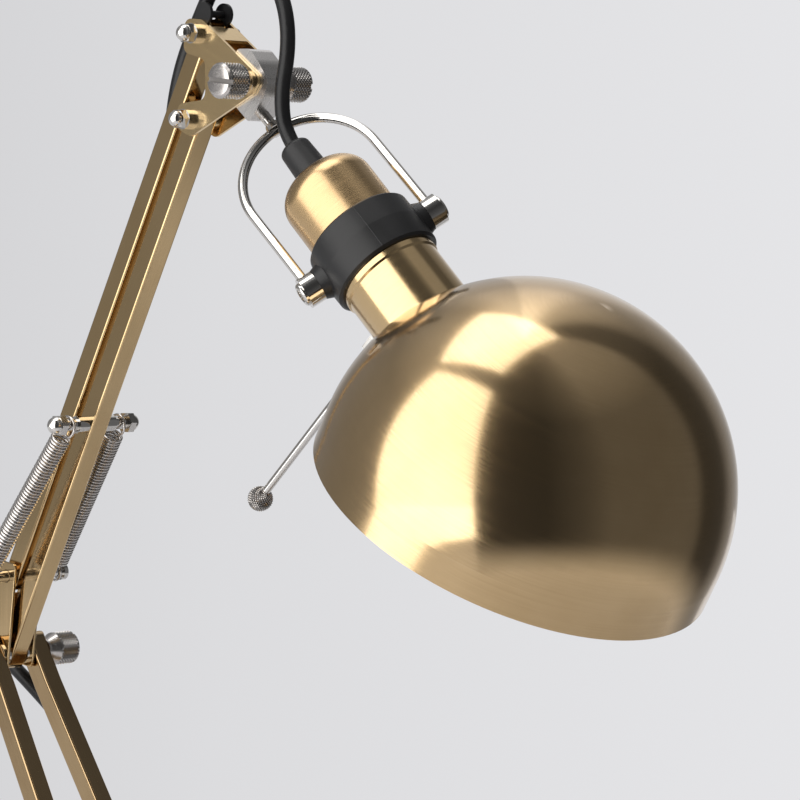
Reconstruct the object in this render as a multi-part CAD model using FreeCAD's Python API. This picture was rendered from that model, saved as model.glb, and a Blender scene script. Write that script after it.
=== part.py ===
import FreeCAD, Part
import math
import os

# Work lamp: round brass shade on a parallel-bar swing arm, splayed lower legs, round weighted base.
# Millimetres, +Z up, +X towards the shade, the arm's hinges along Y. The origin is the base's centre.

os.makedirs("parts", exist_ok=True)
V = FreeCAD.Vector

# Base
BASE_D = 150.0
BASE_H = 25.0
COVER_T = 1.0
PAD_T = 2.0
WEIGHT_GAP = 3.0
WEIGHT_D = BASE_D - 2 * (COVER_T + WEIGHT_GAP)
SHOULDER_R = 9.0
SHOULDER_DROP = 4.0
CROWN_R = 18.0
CROWN_STEP = 0.6
CAVITY_D = 46.0
CAVITY_TOP = 20.0
GROOVE_W = 12.0
RELIEF_NECK_R = 4.4
GROOVE_TOP = 12.0
STUD_D = 10.0
STUD_BORE = 7.4
STUD_NUT_AF = 16.0
STUD_NUT_H = 4.0
YOKE_T = 2.0
YOKE_W = 26.8
YOKE_HALF_X = 8.0
BASE_PIVOT_Z = 42.0
YOKE_STUD_D = 5.0

# Arms
TUBE = 6.8
TUBE_WALL = 0.7
TUBE_CORNER = 0.8
LEG_LEAN = 31.05
LEG_LENGTH = 190.0
LEG_FOOT_Y = 17.4
LEG_TOP_Y = 9.7
LEG_STRAIGHT = 12.0
LEG_FOOT_PAST = 6.0
LEG_TOP_PAST = 6.5
BAR_LEAN = 27.97
BAR_LENGTH = 193.3
BAR_PAST = 5.0
LINK_X = 3.5
LINK_Z = 25.8
SPRING_ROD_AT = 86.2
PIN_D = 3.2
BOLT_D = 4.0
ROD_D = 4.0
FIT = 0.05
PLATE_IN = 4.7
PLATE_T = 1.0

# Springs
SPRING_R = 2.55
SPRING_WIRE = 0.9
SPRING_PITCH = 1.45
SPRING_TURNS = 29.75
SPRING_PLAY = 0.08
SPRING_TOP_Y = 10.5
SPRING_FOOT_Y = 14.5

# Knurled knobs
KNOB_D = 10.6
KNOB_HEAD = 8.4
KNOB_NECK_D = 7.0
KNOB_NECK = 3.7
KNOB_SLOT = 1.5
KNOB_PLAY = 0.2
BOLT_REACH = 8.0

# Head
CLEVIS_FROM_PIN_X = 26.14
CLEVIS_FROM_PIN_Z = 10.28
STEM_LEAN = 48.05
CLEVIS_IN = 3.6
CLEVIS_T = 1.0
STEM_D = 3.4
STEM_OFFSET = -6.33
HUB_ALONG = 68.35
BAIL_R = 21.42
BAIL_LEG = 32.15
BAIL_D = 3.0
EYE_D = 9.5
EYE_T = 4.6
BAIL_TURN = 45.45
HEAD_TILT = 6.38
SHADE_TURN = -44.86
CAP_R = 14.46
CAP_TOP = -30.0
CAP_ROUND = 7.5
CAP_FOOT = -6.0
COLLAR_R = 16.9
COLLAR_TOP = -7.7
COLLAR_FOOT = 9.0
NECK_R = 15.0
BEAD_R = 15.5
NECK_END = 32.0
SLEEVE_D = 10.7
SLEEVE_TOP = -42.5
SHADE_R = 60.0
SHADE_T = 0.9
SHADE_SKIRT = 9.08
SHADE_ALONG = 85.36
SHADE_ASIDE = 7.92
SHADE_OPEN_ANGLE = 74.61
HOLDER_R = 12.0
BULB_R = 22.5
BULB_ALONG = 62.5
BULB_ROOT = 28.0
BULB_THREAD = 20.0
GLASS_T = 0.9
AIM_D = 2.5
AIM_LENGTH = 66.0
AIM_ASIDE = -7.0
AIM_ALONG = 24.0
BALL_D = 7.8

# Cord
CORD_D = 4.6
CORD_BEHIND = 6.9
CORD_ENTRY = 16.0
CORD_DIP = 22.0
LEAD_Z = 7.0
COIL_R = 25.3
COIL_STEP = 5.6
COIL_TURNS_FLAT = 2.0
COIL_LAYERS = 4

SIN_LEG = math.sin(math.radians(LEG_LEAN))
COS_LEG = math.cos(math.radians(LEG_LEAN))
SIN_BAR = math.sin(math.radians(BAR_LEAN))
COS_BAR = math.cos(math.radians(BAR_LEAN))
SIN_STEM = math.sin(math.radians(STEM_LEAN))
COS_STEM = math.cos(math.radians(STEM_LEAN))

BASE_PIVOT = V(0, 0, BASE_PIVOT_Z)
ELBOW = BASE_PIVOT + V(-SIN_LEG, 0, COS_LEG) * LEG_LENGTH
LINK = V(LINK_X, 0, LINK_Z)
BAR_DIR = V(SIN_BAR, 0, COS_BAR)
BAR_SIDE = V(COS_BAR, 0, -SIN_BAR)
LOWER_ROD = ELBOW + LINK
FRONT_PIN = ELBOW + BAR_DIR * BAR_LENGTH
BACK_PIN = LOWER_ROD + BAR_DIR * BAR_LENGTH
UPPER_ROD = ELBOW + BAR_DIR * SPRING_ROD_AT
CLEVIS = FRONT_PIN + V(CLEVIS_FROM_PIN_X, 0, CLEVIS_FROM_PIN_Z)
STEM_DIR = V(SIN_STEM, 0, -COS_STEM)
STEM_SIDE = V(COS_STEM, 0, SIN_STEM)
HUB = CLEVIS + STEM_DIR * HUB_ALONG + STEM_SIDE * STEM_OFFSET
COS_TURN = math.cos(math.radians(BAIL_TURN))
SIN_TURN = math.sin(math.radians(BAIL_TURN))
HUB_DIR = V(0, COS_TURN, 0) + STEM_SIDE * SIN_TURN
SWING_DIR = HUB_DIR.cross(STEM_DIR)
NECK_DIR = STEM_DIR * math.cos(math.radians(HEAD_TILT)) + SWING_DIR * math.sin(math.radians(HEAD_TILT))
NECK_SIDE = HUB_DIR.cross(NECK_DIR)
SHADE_DIR = NECK_SIDE * math.cos(math.radians(SHADE_TURN)) + HUB_DIR * math.sin(math.radians(SHADE_TURN))
KNOB_TURN = V(0.42, 0, 0.91)
HEAD_KNOB_TURN = V(0.992, 0, -0.127)


def frame(origin, x_dir, z_dir):
    """Placement whose local X and Z run along the two given directions."""
    x = V(x_dir).normalize()
    z = V(z_dir).normalize()
    y = z.cross(x)
    m = FreeCAD.Matrix(x.x, y.x, z.x, origin.x, x.y, y.y, z.y, origin.y, x.z, y.z, z.z, origin.z, 0, 0, 0, 1)
    return FreeCAD.Placement(m)


LEG_FRAME = frame(BASE_PIVOT, V(COS_LEG, 0, SIN_LEG), V(-SIN_LEG, 0, COS_LEG))
BAR_FRAME = frame(ELBOW, BAR_SIDE, BAR_DIR)
CLEVIS_FRAME = frame(CLEVIS, STEM_DIR, STEM_SIDE)
BAIL_FRAME = frame(HUB, HUB_DIR, STEM_DIR)
COLLAR_FRAME = frame(HUB, HUB_DIR, NECK_DIR)
HEAD_FRAME = frame(HUB, SHADE_DIR, NECK_DIR)


def placed(shape, place):
    """Copy of a shape built at the origin, moved into a frame."""
    moved = shape.copy()
    moved.transformShape(place.toMatrix())
    return moved


def export(name, *shapes):
    """Write one node; several separate solids go in one compound."""
    shape = shapes[0] if len(shapes) == 1 else Part.makeCompound(list(shapes))
    if not shape.isValid():
        print("NOT VALID", name)
    print(name, len(shape.Solids), "solids", round(shape.Volume, 1), "mm3")
    shape.exportStep("parts/" + name + ".step")


def rod(radius, start, end):
    """Round bar between two points."""
    return Part.makeCylinder(radius, (end - start).Length, start, end - start)


def hexagon(across_flats, height, bore):
    """Hexagonal nut on the XY plane with a round hole."""
    corner = across_flats / math.sqrt(3)
    points = [V(corner * math.cos(i * math.pi / 3), corner * math.sin(i * math.pi / 3), 0) for i in range(7)]
    nut = Part.Face(Part.makePolygon(points)).extrude(V(0, 0, height))
    dome = Part.makeCone(corner * 1.22, corner * 0.9, height * 1.6, V(0, 0, -height * 0.3))
    return nut.common(dome).cut(Part.makeCylinder(bore / 2, height * 3, V(0, 0, -height)))


def tangent_arc(start, corner, end):
    """Arc that touches both lines at start and end, which lie equally far from the corner."""
    first = (corner - start).normalize()
    second = (end - corner).normalize()
    half = first.getAngle(second) / 2
    reach = (corner - start).Length
    radius = reach / math.tan(half)
    chord = (start + end) * 0.5
    middle = chord + (corner - chord).normalize() * (radius * (1 - math.cos(half)))
    return Part.Arc(start, middle, end), radius


def revolved(steps):
    """Solid of revolution about Z from (radius, height) points; a pair of points is an arc's middle and end."""
    edges = []
    here = V(steps[0][0], 0, steps[0][1])
    for step in steps[1:] + steps[:1]:
        if isinstance(step[0], tuple):
            middle = V(step[0][0], 0, step[0][1])
            there = V(step[1][0], 0, step[1][1])
            edges.append(Part.Arc(here, middle, there).toShape())
        else:
            there = V(step[0], 0, step[1])
            if (there - here).Length > 1e-6:
                edges.append(Part.LineSegment(here, there).toShape())
        here = there
    return Part.Face(Part.Wire(edges)).revolve(V(0, 0, 0), V(0, 0, 1), 360)


def arc_points(centre, radius, start, end):
    """An arc's middle and end in a revolved outline, from its angles in degrees."""
    spots = []
    for angle in ((start + end) / 2, end):
        turn = math.radians(angle)
        spots.append((centre[0] + radius * math.cos(turn), centre[1] + radius * math.sin(turn)))
    return tuple(spots)


def plate(points, radius, low, high):
    """Flat plate with rounded corners in the XZ plane, between two heights along Y."""
    count = len(points)
    corners = [V(x, low, z) for x, z in points]
    edges = []
    ends = []
    for i in range(count):
        before = corners[i - 1]
        here = corners[i]
        after = corners[(i + 1) % count]
        into = (here - before).normalize()
        out = (after - here).normalize()
        half = into.getAngle(out) / 2
        reach = min(radius * math.tan(half), 0.45 * (here - before).Length, 0.45 * (after - here).Length)
        ends.append((here - into * reach, here, here + out * reach))
    for i in range(count):
        start, corner, end = ends[i]
        edges.append(tangent_arc(start, corner, end)[0].toShape())
        following = ends[(i + 1) % count][0]
        if (following - end).Length > 1e-5:
            edges.append(Part.LineSegment(end, following).toShape())
    return Part.Face(Part.Wire(edges)).extrude(V(0, high - low, 0))


def sweep(edges, diameter):
    """Round tube along tangent edges."""
    path = Part.Wire(edges)
    first = path.OrderedEdges[0]
    start = first.valueAt(first.FirstParameter)
    ahead = first.tangentAt(first.FirstParameter)
    ring = Part.Wire(Part.makeCircle(diameter / 2, start, ahead))
    return path.makePipeShell([ring], True, False), path.Length


def cord(name, points, bends=None):
    """Cord along straight runs joined by arcs; the arcs take 0.45 of the shorter run unless a radius is given."""
    bends = bends or {}
    edges = []
    here = points[0]
    radii = []
    for i in range(1, len(points) - 1):
        into = (points[i] - points[i - 1])
        out = (points[i + 1] - points[i])
        half = into.getAngle(out) / 2
        reach = 0.45 * min(into.Length, out.Length)
        if i in bends:
            reach = bends[i] * math.tan(half)
        start = points[i] - into.normalize() * reach
        end = points[i] + out.normalize() * reach
        arc, radius = tangent_arc(start, points[i], end)
        if (start - here).Length > 1e-5:
            edges.append(Part.LineSegment(here, start).toShape())
        edges.append(arc.toShape())
        radii.append(round(radius, 1))
        here = end
    edges.append(Part.LineSegment(here, points[-1]).toShape())
    tube, length = sweep(edges, CORD_D)
    section = math.pi * (CORD_D / 2) ** 2
    print(name, "length", round(length, 1), "radii", radii, "volume share", round(tube.Volume / (section * length), 4))
    export(name, tube)


def knob(bore_depth):
    """Slotted thumb knob standing on the XY plane, with a blind bore."""
    tip = KNOB_NECK + KNOB_HEAD
    body = revolved([
        (0, 0), (KNOB_NECK_D / 2, 0), (KNOB_NECK_D / 2, KNOB_NECK - 0.6), (KNOB_D / 2 - 0.8, KNOB_NECK),
        (KNOB_D / 2, KNOB_NECK + 0.8), (KNOB_D / 2, tip - 1.0), (KNOB_D / 2 - 1.0, tip), (0, tip),
    ])
    slot = Part.makeBox(KNOB_D + 2, KNOB_SLOT, 1.6, V(-KNOB_D / 2 - 1, -KNOB_SLOT / 2, tip - 1.6))
    bore = Part.makeCylinder(BOLT_D / 2 + FIT, bore_depth, V(0, 0, 0))
    return body.cut(slot).cut(bore)


def knob_pair(name, pivot, face, bolt_end, slot_dir, bore_d=BOLT_D):
    """Left and right thumb knobs on one pivot; each stands on the outer face beside it."""
    for side, word in ((-1, "left"), (1, "right")):
        depth = bolt_end - face + KNOB_PLAY
        shape = knob(depth)
        if bore_d != BOLT_D:
            shape = shape.cut(Part.makeCylinder(bore_d / 2 + FIT, depth))
        place = frame(pivot + V(0, side * face, 0), slot_dir, V(0, side, 0))
        export(name + "_" + word, placed(shape, place))


def washer(outer, bore, pivot, low, high):
    """Flat ring on a Y axis between two Y values."""
    ring = rod(outer / 2, pivot + V(0, low, 0), pivot + V(0, high, 0))
    return ring.cut(rod(bore / 2, pivot + V(0, low - 1, 0), pivot + V(0, high + 1, 0)))


# Base: spun cover over an iron weight, on a soft pad
def make_base():
    """Cover, weight, pad, hollow swivel stud and its nuts."""
    rim = BASE_D / 2
    shoulder = SHOULDER_R
    edge_top = BASE_H - SHOULDER_DROP
    crown = BASE_H - CROWN_STEP
    inner = rim - COVER_T
    cover = revolved([
        (rim, PAD_T), (rim, edge_top - shoulder),
        arc_points((rim - shoulder, edge_top - shoulder), shoulder, 0, 80),
        (CROWN_R + 4.0, crown), (CROWN_R, BASE_H), (STUD_D / 2 + FIT, BASE_H), (STUD_D / 2 + FIT, BASE_H - COVER_T),
        (CROWN_R - 0.4, BASE_H - COVER_T), (CROWN_R + 3.8, crown - COVER_T),
        (rim - shoulder + (shoulder - COVER_T) * math.cos(math.radians(80)),
         edge_top - shoulder + (shoulder - COVER_T) * math.sin(math.radians(80))),
        arc_points((rim - shoulder, edge_top - shoulder), shoulder - COVER_T, 80, 0),
        (inner, PAD_T),
    ])
    exit_hole = rod(RELIEF_NECK_R + FIT, V(-rim - 5, 0, LEAD_Z), V(-rim + 8, 0, LEAD_Z))
    export("base_cover", cover.cut(exit_hole))

    weight_r = WEIGHT_D / 2
    slope = weight_r - shoulder
    top = BASE_H - COVER_T
    weight = revolved([
        (CAVITY_D / 2, PAD_T), (weight_r, PAD_T), (weight_r, edge_top - shoulder - 2.0), (slope, edge_top - 2.6),
        (CROWN_R + 3.8, top - 1.0), (CROWN_R - 0.4, top), (STUD_D / 2 + FIT, top), (STUD_D / 2 + FIT, CAVITY_TOP),
        (CAVITY_D / 2, CAVITY_TOP),
    ])
    groove = Part.makeBox(weight_r, GROOVE_W, GROOVE_TOP - PAD_T + 1, V(-weight_r - 5, -GROOVE_W / 2, PAD_T - 1))
    export("base_weight", weight.cut(groove))

    export("base_pad", Part.makeCylinder(rim - 2.0, PAD_T))

    nut_low = CAVITY_TOP - STUD_NUT_H
    stud_top = BASE_H + YOKE_T + STUD_NUT_H + 1.5
    stud = revolved([
        (STUD_BORE / 2 + 0.4, nut_low - 0.6), (STUD_D / 2 - 0.5, nut_low - 0.6), (STUD_D / 2, nut_low),
        (STUD_D / 2, stud_top - 0.5), (STUD_D / 2 - 0.5, stud_top), (STUD_BORE / 2, stud_top),
        (STUD_BORE / 2, nut_low),
    ])
    export("swivel_stud", stud)
    nut = hexagon(STUD_NUT_AF, STUD_NUT_H, STUD_D + 2 * FIT)
    low_nut = placed(nut, frame(V(0, 0, nut_low), V(1, 0, 0), V(0, 0, 1)))
    high_nut = placed(nut, frame(V(0, 0, BASE_H + YOKE_T), V(1, 0, 0), V(0, 0, 1)))
    export("swivel_nuts", low_nut, high_nut)


# Yoke: folded strip that turns on the stud and carries both legs
def make_yoke():
    """Yoke, its two pivot studs and the base knobs."""
    half = YOKE_W / 2
    floor = Part.makeCylinder(half, YOKE_T, V(0, 0, BASE_H))
    floor = floor.common(Part.makeBox(4 * half, 2 * half, YOKE_T, V(-2 * half, -half, BASE_H)))
    ears = [
        (-11.0, BASE_H), (11.0, BASE_H), (YOKE_HALF_X, BASE_PIVOT_Z - 4), (YOKE_HALF_X, BASE_PIVOT_Z + 8),
        (-YOKE_HALF_X, BASE_PIVOT_Z + 8), (-YOKE_HALF_X, BASE_PIVOT_Z - 4),
    ]
    yoke = floor
    for low in (-half, half - YOKE_T):
        yoke = yoke.fuse(plate(ears, 7.9, low, low + YOKE_T).common(
            Part.makeBox(60, 60, 60, V(-30, -30, BASE_H))))
    yoke = yoke.fuse(Part.makeBox(14, YOKE_W, YOKE_T, V(-7, -half, BASE_H)))
    yoke = yoke.cut(Part.makeCylinder(STUD_D / 2 + FIT, 20, V(0, 0, BASE_H - 5)))
    yoke = yoke.cut(rod(YOKE_STUD_D / 2 + FIT, V(0, -40, BASE_PIVOT_Z), V(0, 40, BASE_PIVOT_Z)))
    export("base_yoke", yoke.removeSplitter())

    leg_out = LEG_FOOT_Y + TUBE / 2
    studs = []
    for side in (-1, 1):
        inner = half - YOKE_T
        head = rod(4.5, V(0, side * (inner - 1.8), BASE_PIVOT_Z), V(0, side * inner, BASE_PIVOT_Z))
        shank = rod(YOKE_STUD_D / 2, V(0, side * inner, BASE_PIVOT_Z), V(0, side * (leg_out + 7), BASE_PIVOT_Z))
        spacer = rod(4.2, V(0, side * half, BASE_PIVOT_Z), V(0, side * (leg_out - TUBE), BASE_PIVOT_Z))
        studs.append(head.fuse(shank).fuse(spacer).removeSplitter())
    export("yoke_studs", *studs)
    knob_pair("base_knob", BASE_PIVOT, leg_out, leg_out + 7, KNOB_TURN, YOKE_STUD_D)


# Lower arm: two square tubes, splayed towards the base
def make_legs():
    """Left and right leg with cross holes; the right leg carries the cord."""
    low = -LEG_FOOT_PAST
    high = LEG_LENGTH + LEG_TOP_PAST
    side_view = [(-TUBE / 2, low), (TUBE / 2, low), (TUBE / 2, high), (-TUBE / 2, high)]
    inside = TUBE / 2 - TUBE_WALL
    for side, word in ((-1, "left"), (1, "right")):
        leg = leg_band(side, TUBE / 2, 0.0, -TUBE / 2, TUBE / 2)
        leg = round_edges(leg, LEG_LENGTH / 2)
        leg = leg.common(plate(side_view, TUBE / 2 - 0.01, -40, 40))
        leg = leg.cut(leg_band(side, inside, 5.0, -inside, inside))
        foot_hole = rod(YOKE_STUD_D / 2 + FIT, V(0, -40, 0), V(0, 40, 0))
        top_hole = rod(BOLT_D / 2 + FIT, V(0, -40, LEG_LENGTH), V(0, 40, LEG_LENGTH))
        leg = leg.cut(foot_hole).cut(top_hole)
        if side == 1:
            entry = leg_band(side, inside, 5.0, -TUBE, 0).common(Part.makeBox(20, 80, 32, V(-15, -40, LEG_LENGTH - 41)))
            exit_y = LEG_FOOT_Y - 1.3 - TUBE / 2
            way_out = Part.makeBox(2 * inside, 4, 27, V(-inside, exit_y - 2, 27))
            leg = leg.cut(entry).cut(way_out)
        export("leg_" + word, placed(leg, LEG_FRAME))


def leg_band(side, half, past, x_low, x_high):
    """Prism along one leg's bent centre line, in the legs' frame."""
    low = -LEG_FOOT_PAST - past
    high = LEG_LENGTH + LEG_TOP_PAST + past
    line = [(low, LEG_FOOT_Y), (LEG_STRAIGHT, LEG_FOOT_Y), (LEG_LENGTH - LEG_STRAIGHT, LEG_TOP_Y), (high, LEG_TOP_Y)]
    edge = [V(x_low, side * y - half, z) for z, y in line]
    back = [V(x_low, side * y + half, z) for z, y in reversed(line)]
    return Part.Face(Part.makePolygon(edge + back + edge[:1])).extrude(V(x_high - x_low, 0, 0))


# Elbow: folded bracket on a through bolt, with the lower ends of bars and springs
ELBOW_OUTLINE = [(-6.5, -6.5), (11.5, -5.5), (10.8, 4.0), (9.5, 27.0), (4.5, 32.0), (-3.5, 30.5), (-8.0, 3.0)]


def make_elbow():
    """Elbow bracket, bolt, knobs, washers and lower cross rod."""
    outer = PLATE_IN + PLATE_T
    bracket = None
    for low in (-outer, PLATE_IN):
        side = plate(ELBOW_OUTLINE, 3.0, low, low + PLATE_T)
        bracket = side if bracket is None else bracket.fuse(side)
    web = plate([(-7.62, 5.3), (-6.63, 5.1), (-4.34, 19.3), (-5.33, 19.5)], 0.05, -outer, outer)
    bracket = bracket.fuse(web)
    bracket = bracket.cut(rod(BOLT_D / 2 + FIT, V(0, -20, 0), V(0, 20, 0)))
    bracket = bracket.cut(rod(ROD_D / 2 + FIT, LINK + V(0, -20, 0), LINK + V(0, 20, 0)))
    export("elbow_bracket", placed(bracket.removeSplitter(), FreeCAD.Placement(ELBOW, FreeCAD.Rotation())))

    leg_out = LEG_TOP_Y + TUBE / 2
    end = leg_out + BOLT_REACH
    export("elbow_bolt", rod(BOLT_D / 2, ELBOW + V(0, -end, 0), ELBOW + V(0, end, 0)))
    knob_pair("elbow_knob", ELBOW, leg_out, end, KNOB_TURN)
    rings = []
    for side in (-1, 1):
        spans = ((ELBOW, TUBE / 2, PLATE_IN), (ELBOW, outer, leg_out - TUBE), (LOWER_ROD, TUBE / 2, PLATE_IN))
        for pivot, near, far in spans:
            low, high = sorted((side * near, side * far))
            rings.append(washer(7.4, BOLT_D + 2 * FIT, pivot, low, high))
    export("elbow_washers", *rings)
    reach = SPRING_FOOT_Y + 4.2
    lower = rod(ROD_D / 2, LOWER_ROD + V(0, -reach, 0), LOWER_ROD + V(0, reach, 0))
    for side in (-1, 1):
        groove = SPRING_FOOT_Y * side
        lower = lower.cut(washer(ROD_D + 2, ROD_D - 0.7, LOWER_ROD, groove - 1.0, groove + 1.0))
        cap = rod(ROD_D / 2 + 0.8, LOWER_ROD + V(0, side * reach, 0), LOWER_ROD + V(0, side * (reach - 1.5), 0))
        lower = lower.fuse(cap)
    export("lower_cross_rod", lower.removeSplitter())


# Upper arm: two parallel square tubes
def square_tube(x, low, high):
    """Square tube along Z with rounded side ends, centred on a given X."""
    half = TUBE / 2
    inside = half - TUBE_WALL
    outline = [(x - half, low), (x + half, low), (x + half, high), (x - half, high)]
    solid = round_edges(plate(outline, half - 0.01, -half, half), (high - low) / 2)
    return solid.cut(Part.makeBox(2 * inside, 2 * inside, high - low + 20, V(x - inside, -inside, low - 10)))


def round_edges(solid, least):
    """Solid with its straight edges longer than a given length rounded as drawn tube is."""
    long_edges = [e for e in solid.Edges if e.Length > least and isinstance(e.Curve, Part.Line)]
    return solid.makeFillet(TUBE_CORNER, long_edges)


def cross_hole(diameter, x, z):
    """Hole along Y in the bars' frame."""
    return rod(diameter / 2 + FIT, V(x, -20, z), V(x, 20, z))


def make_bars():
    """Front bar, back bar and upper cross rod with its dome nuts."""
    link_z = LINK.dot(BAR_DIR)
    link_x = LINK.dot(BAR_SIDE)
    front = square_tube(0, -BAR_PAST, BAR_LENGTH + BAR_PAST)
    for diameter, z in ((BOLT_D, 0), (ROD_D, SPRING_ROD_AT), (PIN_D, BAR_LENGTH)):
        front = front.cut(cross_hole(diameter, 0, z))
    export("front_bar", placed(front, BAR_FRAME))

    top = link_z + BAR_LENGTH
    back = square_tube(link_x, link_z - BAR_PAST, top + BAR_PAST)
    back = back.cut(cross_hole(ROD_D, link_x, link_z)).cut(cross_hole(PIN_D, link_x, top))
    inner_w = TUBE - 2 * TUBE_WALL
    entry_low = top - CORD_ENTRY - CORD_DIP - 2.0
    channel = Part.makeBox(4, inner_w, CORD_DIP + 3.0, V(link_x - TUBE / 2 - 2, -inner_w / 2, entry_low))
    slot = Part.makeBox(4, inner_w, 26, V(link_x - TUBE / 2 - 2, -inner_w / 2, link_z + 9))
    export("back_bar", placed(back.cut(channel).cut(slot), BAR_FRAME))

    sleeve_end = 7.6
    shaft = rod(ROD_D / 2, UPPER_ROD + V(0, -16.0, 0), UPPER_ROD + V(0, 16.0, 0))
    shoulders = []
    for side in (-1, 1):
        near = UPPER_ROD + V(0, side * TUBE / 2, 0)
        shoulders.append(rod(2.75, near, UPPER_ROD + V(0, side * sleeve_end, 0)))
    shaft = shaft.fuse(shoulders).removeSplitter()
    export("upper_cross_rod", shaft)
    nuts = []
    for side in (-1, 1):
        nut = dome_nut(6.0, 2.4, 3.1, ROD_D, 3.6)
        nuts.append(placed(nut, frame(UPPER_ROD + V(0, side * 13.0, 0), V(1, 0, 0), V(0, side, 0))))
    export("upper_rod_nuts", *nuts)


def dome_nut(across, height, dome, bore, depth):
    """Dome nut on the XY plane: hexagon below, round cap above, blind bore."""
    corner = across / math.sqrt(3)
    radius = across / 2
    points = [V(corner * math.cos(i * math.pi / 3), corner * math.sin(i * math.pi / 3), 0) for i in range(7)]
    body = Part.Face(Part.makePolygon(points)).extrude(V(0, 0, height))
    cap = revolved([(0, height), (radius - 0.1, height), arc_points((0, height), radius - 0.1, 0, 62), (0, height + dome)])
    return body.fuse(cap).removeSplitter().cut(Part.makeCylinder(bore / 2 + FIT, depth))


# Springs: one each side, hooked over both cross rods
def make_springs():
    """Two springs, each one wire: hook, curls, hook."""
    for side, word in ((-1, "left"), (1, "right")):
        foot = LOWER_ROD + V(0, side * SPRING_FOOT_Y, 0)
        head = UPPER_ROD + V(0, side * SPRING_TOP_Y, 0)
        axis = (head - foot).normalize()
        span = (head - foot).Length
        rise = SPRING_PITCH * SPRING_TURNS
        hook = (ROD_D + SPRING_WIRE) / 2 + SPRING_PLAY
        start = (span - rise) / 2
        helix = Part.makeHelix(SPRING_PITCH, rise, SPRING_R)
        helix.translate(V(0, 0, start))
        low, high = helix.OrderedEdges[0], helix.OrderedEdges[-1]
        low_end, low_dir = low.valueAt(low.FirstParameter), low.tangentAt(low.FirstParameter)
        high_end, high_dir = high.valueAt(high.LastParameter), high.tangentAt(high.LastParameter)
        across = V(1, -1, 0).normalize()
        ring_foot = [hook_point(across, hook, 0, angle) for angle in (150, 255, 360)]
        ring_head = [hook_point(across, hook, span, angle) for angle in (0, 105, 210)]
        up = V(0, 0, 1)
        path = [Part.Arc(*ring_foot).toShape()]
        path += biarc(ring_foot[2], up, low_end, low_dir)
        path += helix.OrderedEdges
        path += biarc(high_end, high_dir, ring_head[0], up)
        path.append(Part.Arc(*ring_head).toShape())
        wire, length = sweep(path, SPRING_WIRE)
        level = axis.cross(V(0, 1, 0)).normalize()
        x_dir = level + axis.cross(level)
        print("spring_" + word, "length", round(length, 1), "least gap", round(SPRING_PITCH - SPRING_WIRE, 2))
        export("spring_" + word, placed(wire, frame(foot, x_dir, axis)))


def hook_point(across, radius, height, angle):
    """Point of a hook's circle, which stands in the plane of the spring's axis."""
    turn = math.radians(angle)
    return across * (radius * math.cos(turn)) + V(0, 0, height + radius * math.sin(turn))


# Head bracket: folded plates that carry the bars' top ends and the clevis
HEAD_OUTLINE = [
    (-27.2, 20.4), (-19.5, 19.6), (5.8, 0.9), (2.4, -3.7), (-24.8, -15.6), (-31.0, -12.8), (-30.4, -5.4),
    (-18.2, -4.6), (-18.2, 7.4), (-27.8, 10.2),
]
CLIP_X = -20.2
CLIP_Z = 21.5
CLIP_R = 3.5
CLIP_WAIST_R = 1.1
CLIP_CHEEK = 1.1
NUT_FACE = 7.6
HEAD_FACE = 8.6
PIN_IN_NUT = 3.1


def make_head_bracket():
    """Bracket, link pins, dome nuts, washers and the spool that guides the cord."""
    outer = PLATE_IN + PLATE_T
    bracket = None
    for low in (-outer, PLATE_IN):
        side = plate(HEAD_OUTLINE, 2.6, low, low + PLATE_T)
        bracket = side if bracket is None else bracket.fuse(side)
    first = V(HEAD_OUTLINE[1][0], 0, HEAD_OUTLINE[1][1])
    second = V(HEAD_OUTLINE[2][0], 0, HEAD_OUTLINE[2][1])
    along = (second - first).normalize()
    inward = V(along.z, 0, -along.x)
    inward = inward if inward.z < 0 else inward * -1
    a = first + along * 4.0
    b = first + along * 11.0
    c = b + inward * PLATE_T
    d = a + inward * PLATE_T
    fold = plate([(p.x, p.z) for p in (a, b, c, d)], 0.05, -outer, outer)
    bracket = bracket.fuse(fold)
    back = BACK_PIN - CLEVIS
    front = FRONT_PIN - CLEVIS
    for pivot, diameter in ((back, PIN_D), (front, PIN_D), (V(0, 0, 0), BOLT_D)):
        bracket = bracket.cut(rod(diameter / 2 + FIT, pivot + V(0, -20, 0), pivot + V(0, 20, 0)))
    export("head_bracket", placed(bracket.removeSplitter(), FreeCAD.Placement(CLEVIS, FreeCAD.Rotation())))

    pins = []
    nuts = []
    rings = []
    for pivot in (BACK_PIN, FRONT_PIN):
        shank = rod(PIN_D / 2, pivot + V(0, -NUT_FACE - PIN_IN_NUT, 0), pivot + V(0, HEAD_FACE, 0))
        head = rod(2.6, pivot + V(0, HEAD_FACE, 0), pivot + V(0, HEAD_FACE + 2.4, 0))
        pins.append(shank.fuse(head).removeSplitter())
        nut = dome_nut(5.4, 2.4, 2.8, PIN_D, PIN_IN_NUT + 0.1)
        nuts.append(placed(nut, frame(pivot + V(0, -NUT_FACE, 0), V(1, 0, 0), V(0, -1, 0))))
        bore = PIN_D + 2 * FIT
        rings.append(washer(6.2, bore, pivot, outer, HEAD_FACE))
        rings.append(washer(6.2, bore, pivot, -NUT_FACE, -outer))
        for side in (-1, 1):
            low, high = sorted((side * TUBE / 2, side * PLATE_IN))
            rings.append(washer(5.0, bore, pivot, low, high))
    export("link_pins", *pins)
    export("pin_nuts", *nuts)
    export("pin_washers", *rings)

    centre = CLEVIS + V(CLIP_X, 0, CLIP_Z)
    clip = rod(CLIP_WAIST_R, centre + V(0, -PLATE_IN, 0), centre + V(0, PLATE_IN, 0))
    for side in (-1, 1):
        cheek = rod(CLIP_R, centre + V(0, side * PLATE_IN, 0), centre + V(0, side * (PLATE_IN - CLIP_CHEEK), 0))
        clip = clip.fuse(cheek)
    export("cord_clip", clip.removeSplitter())


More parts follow.
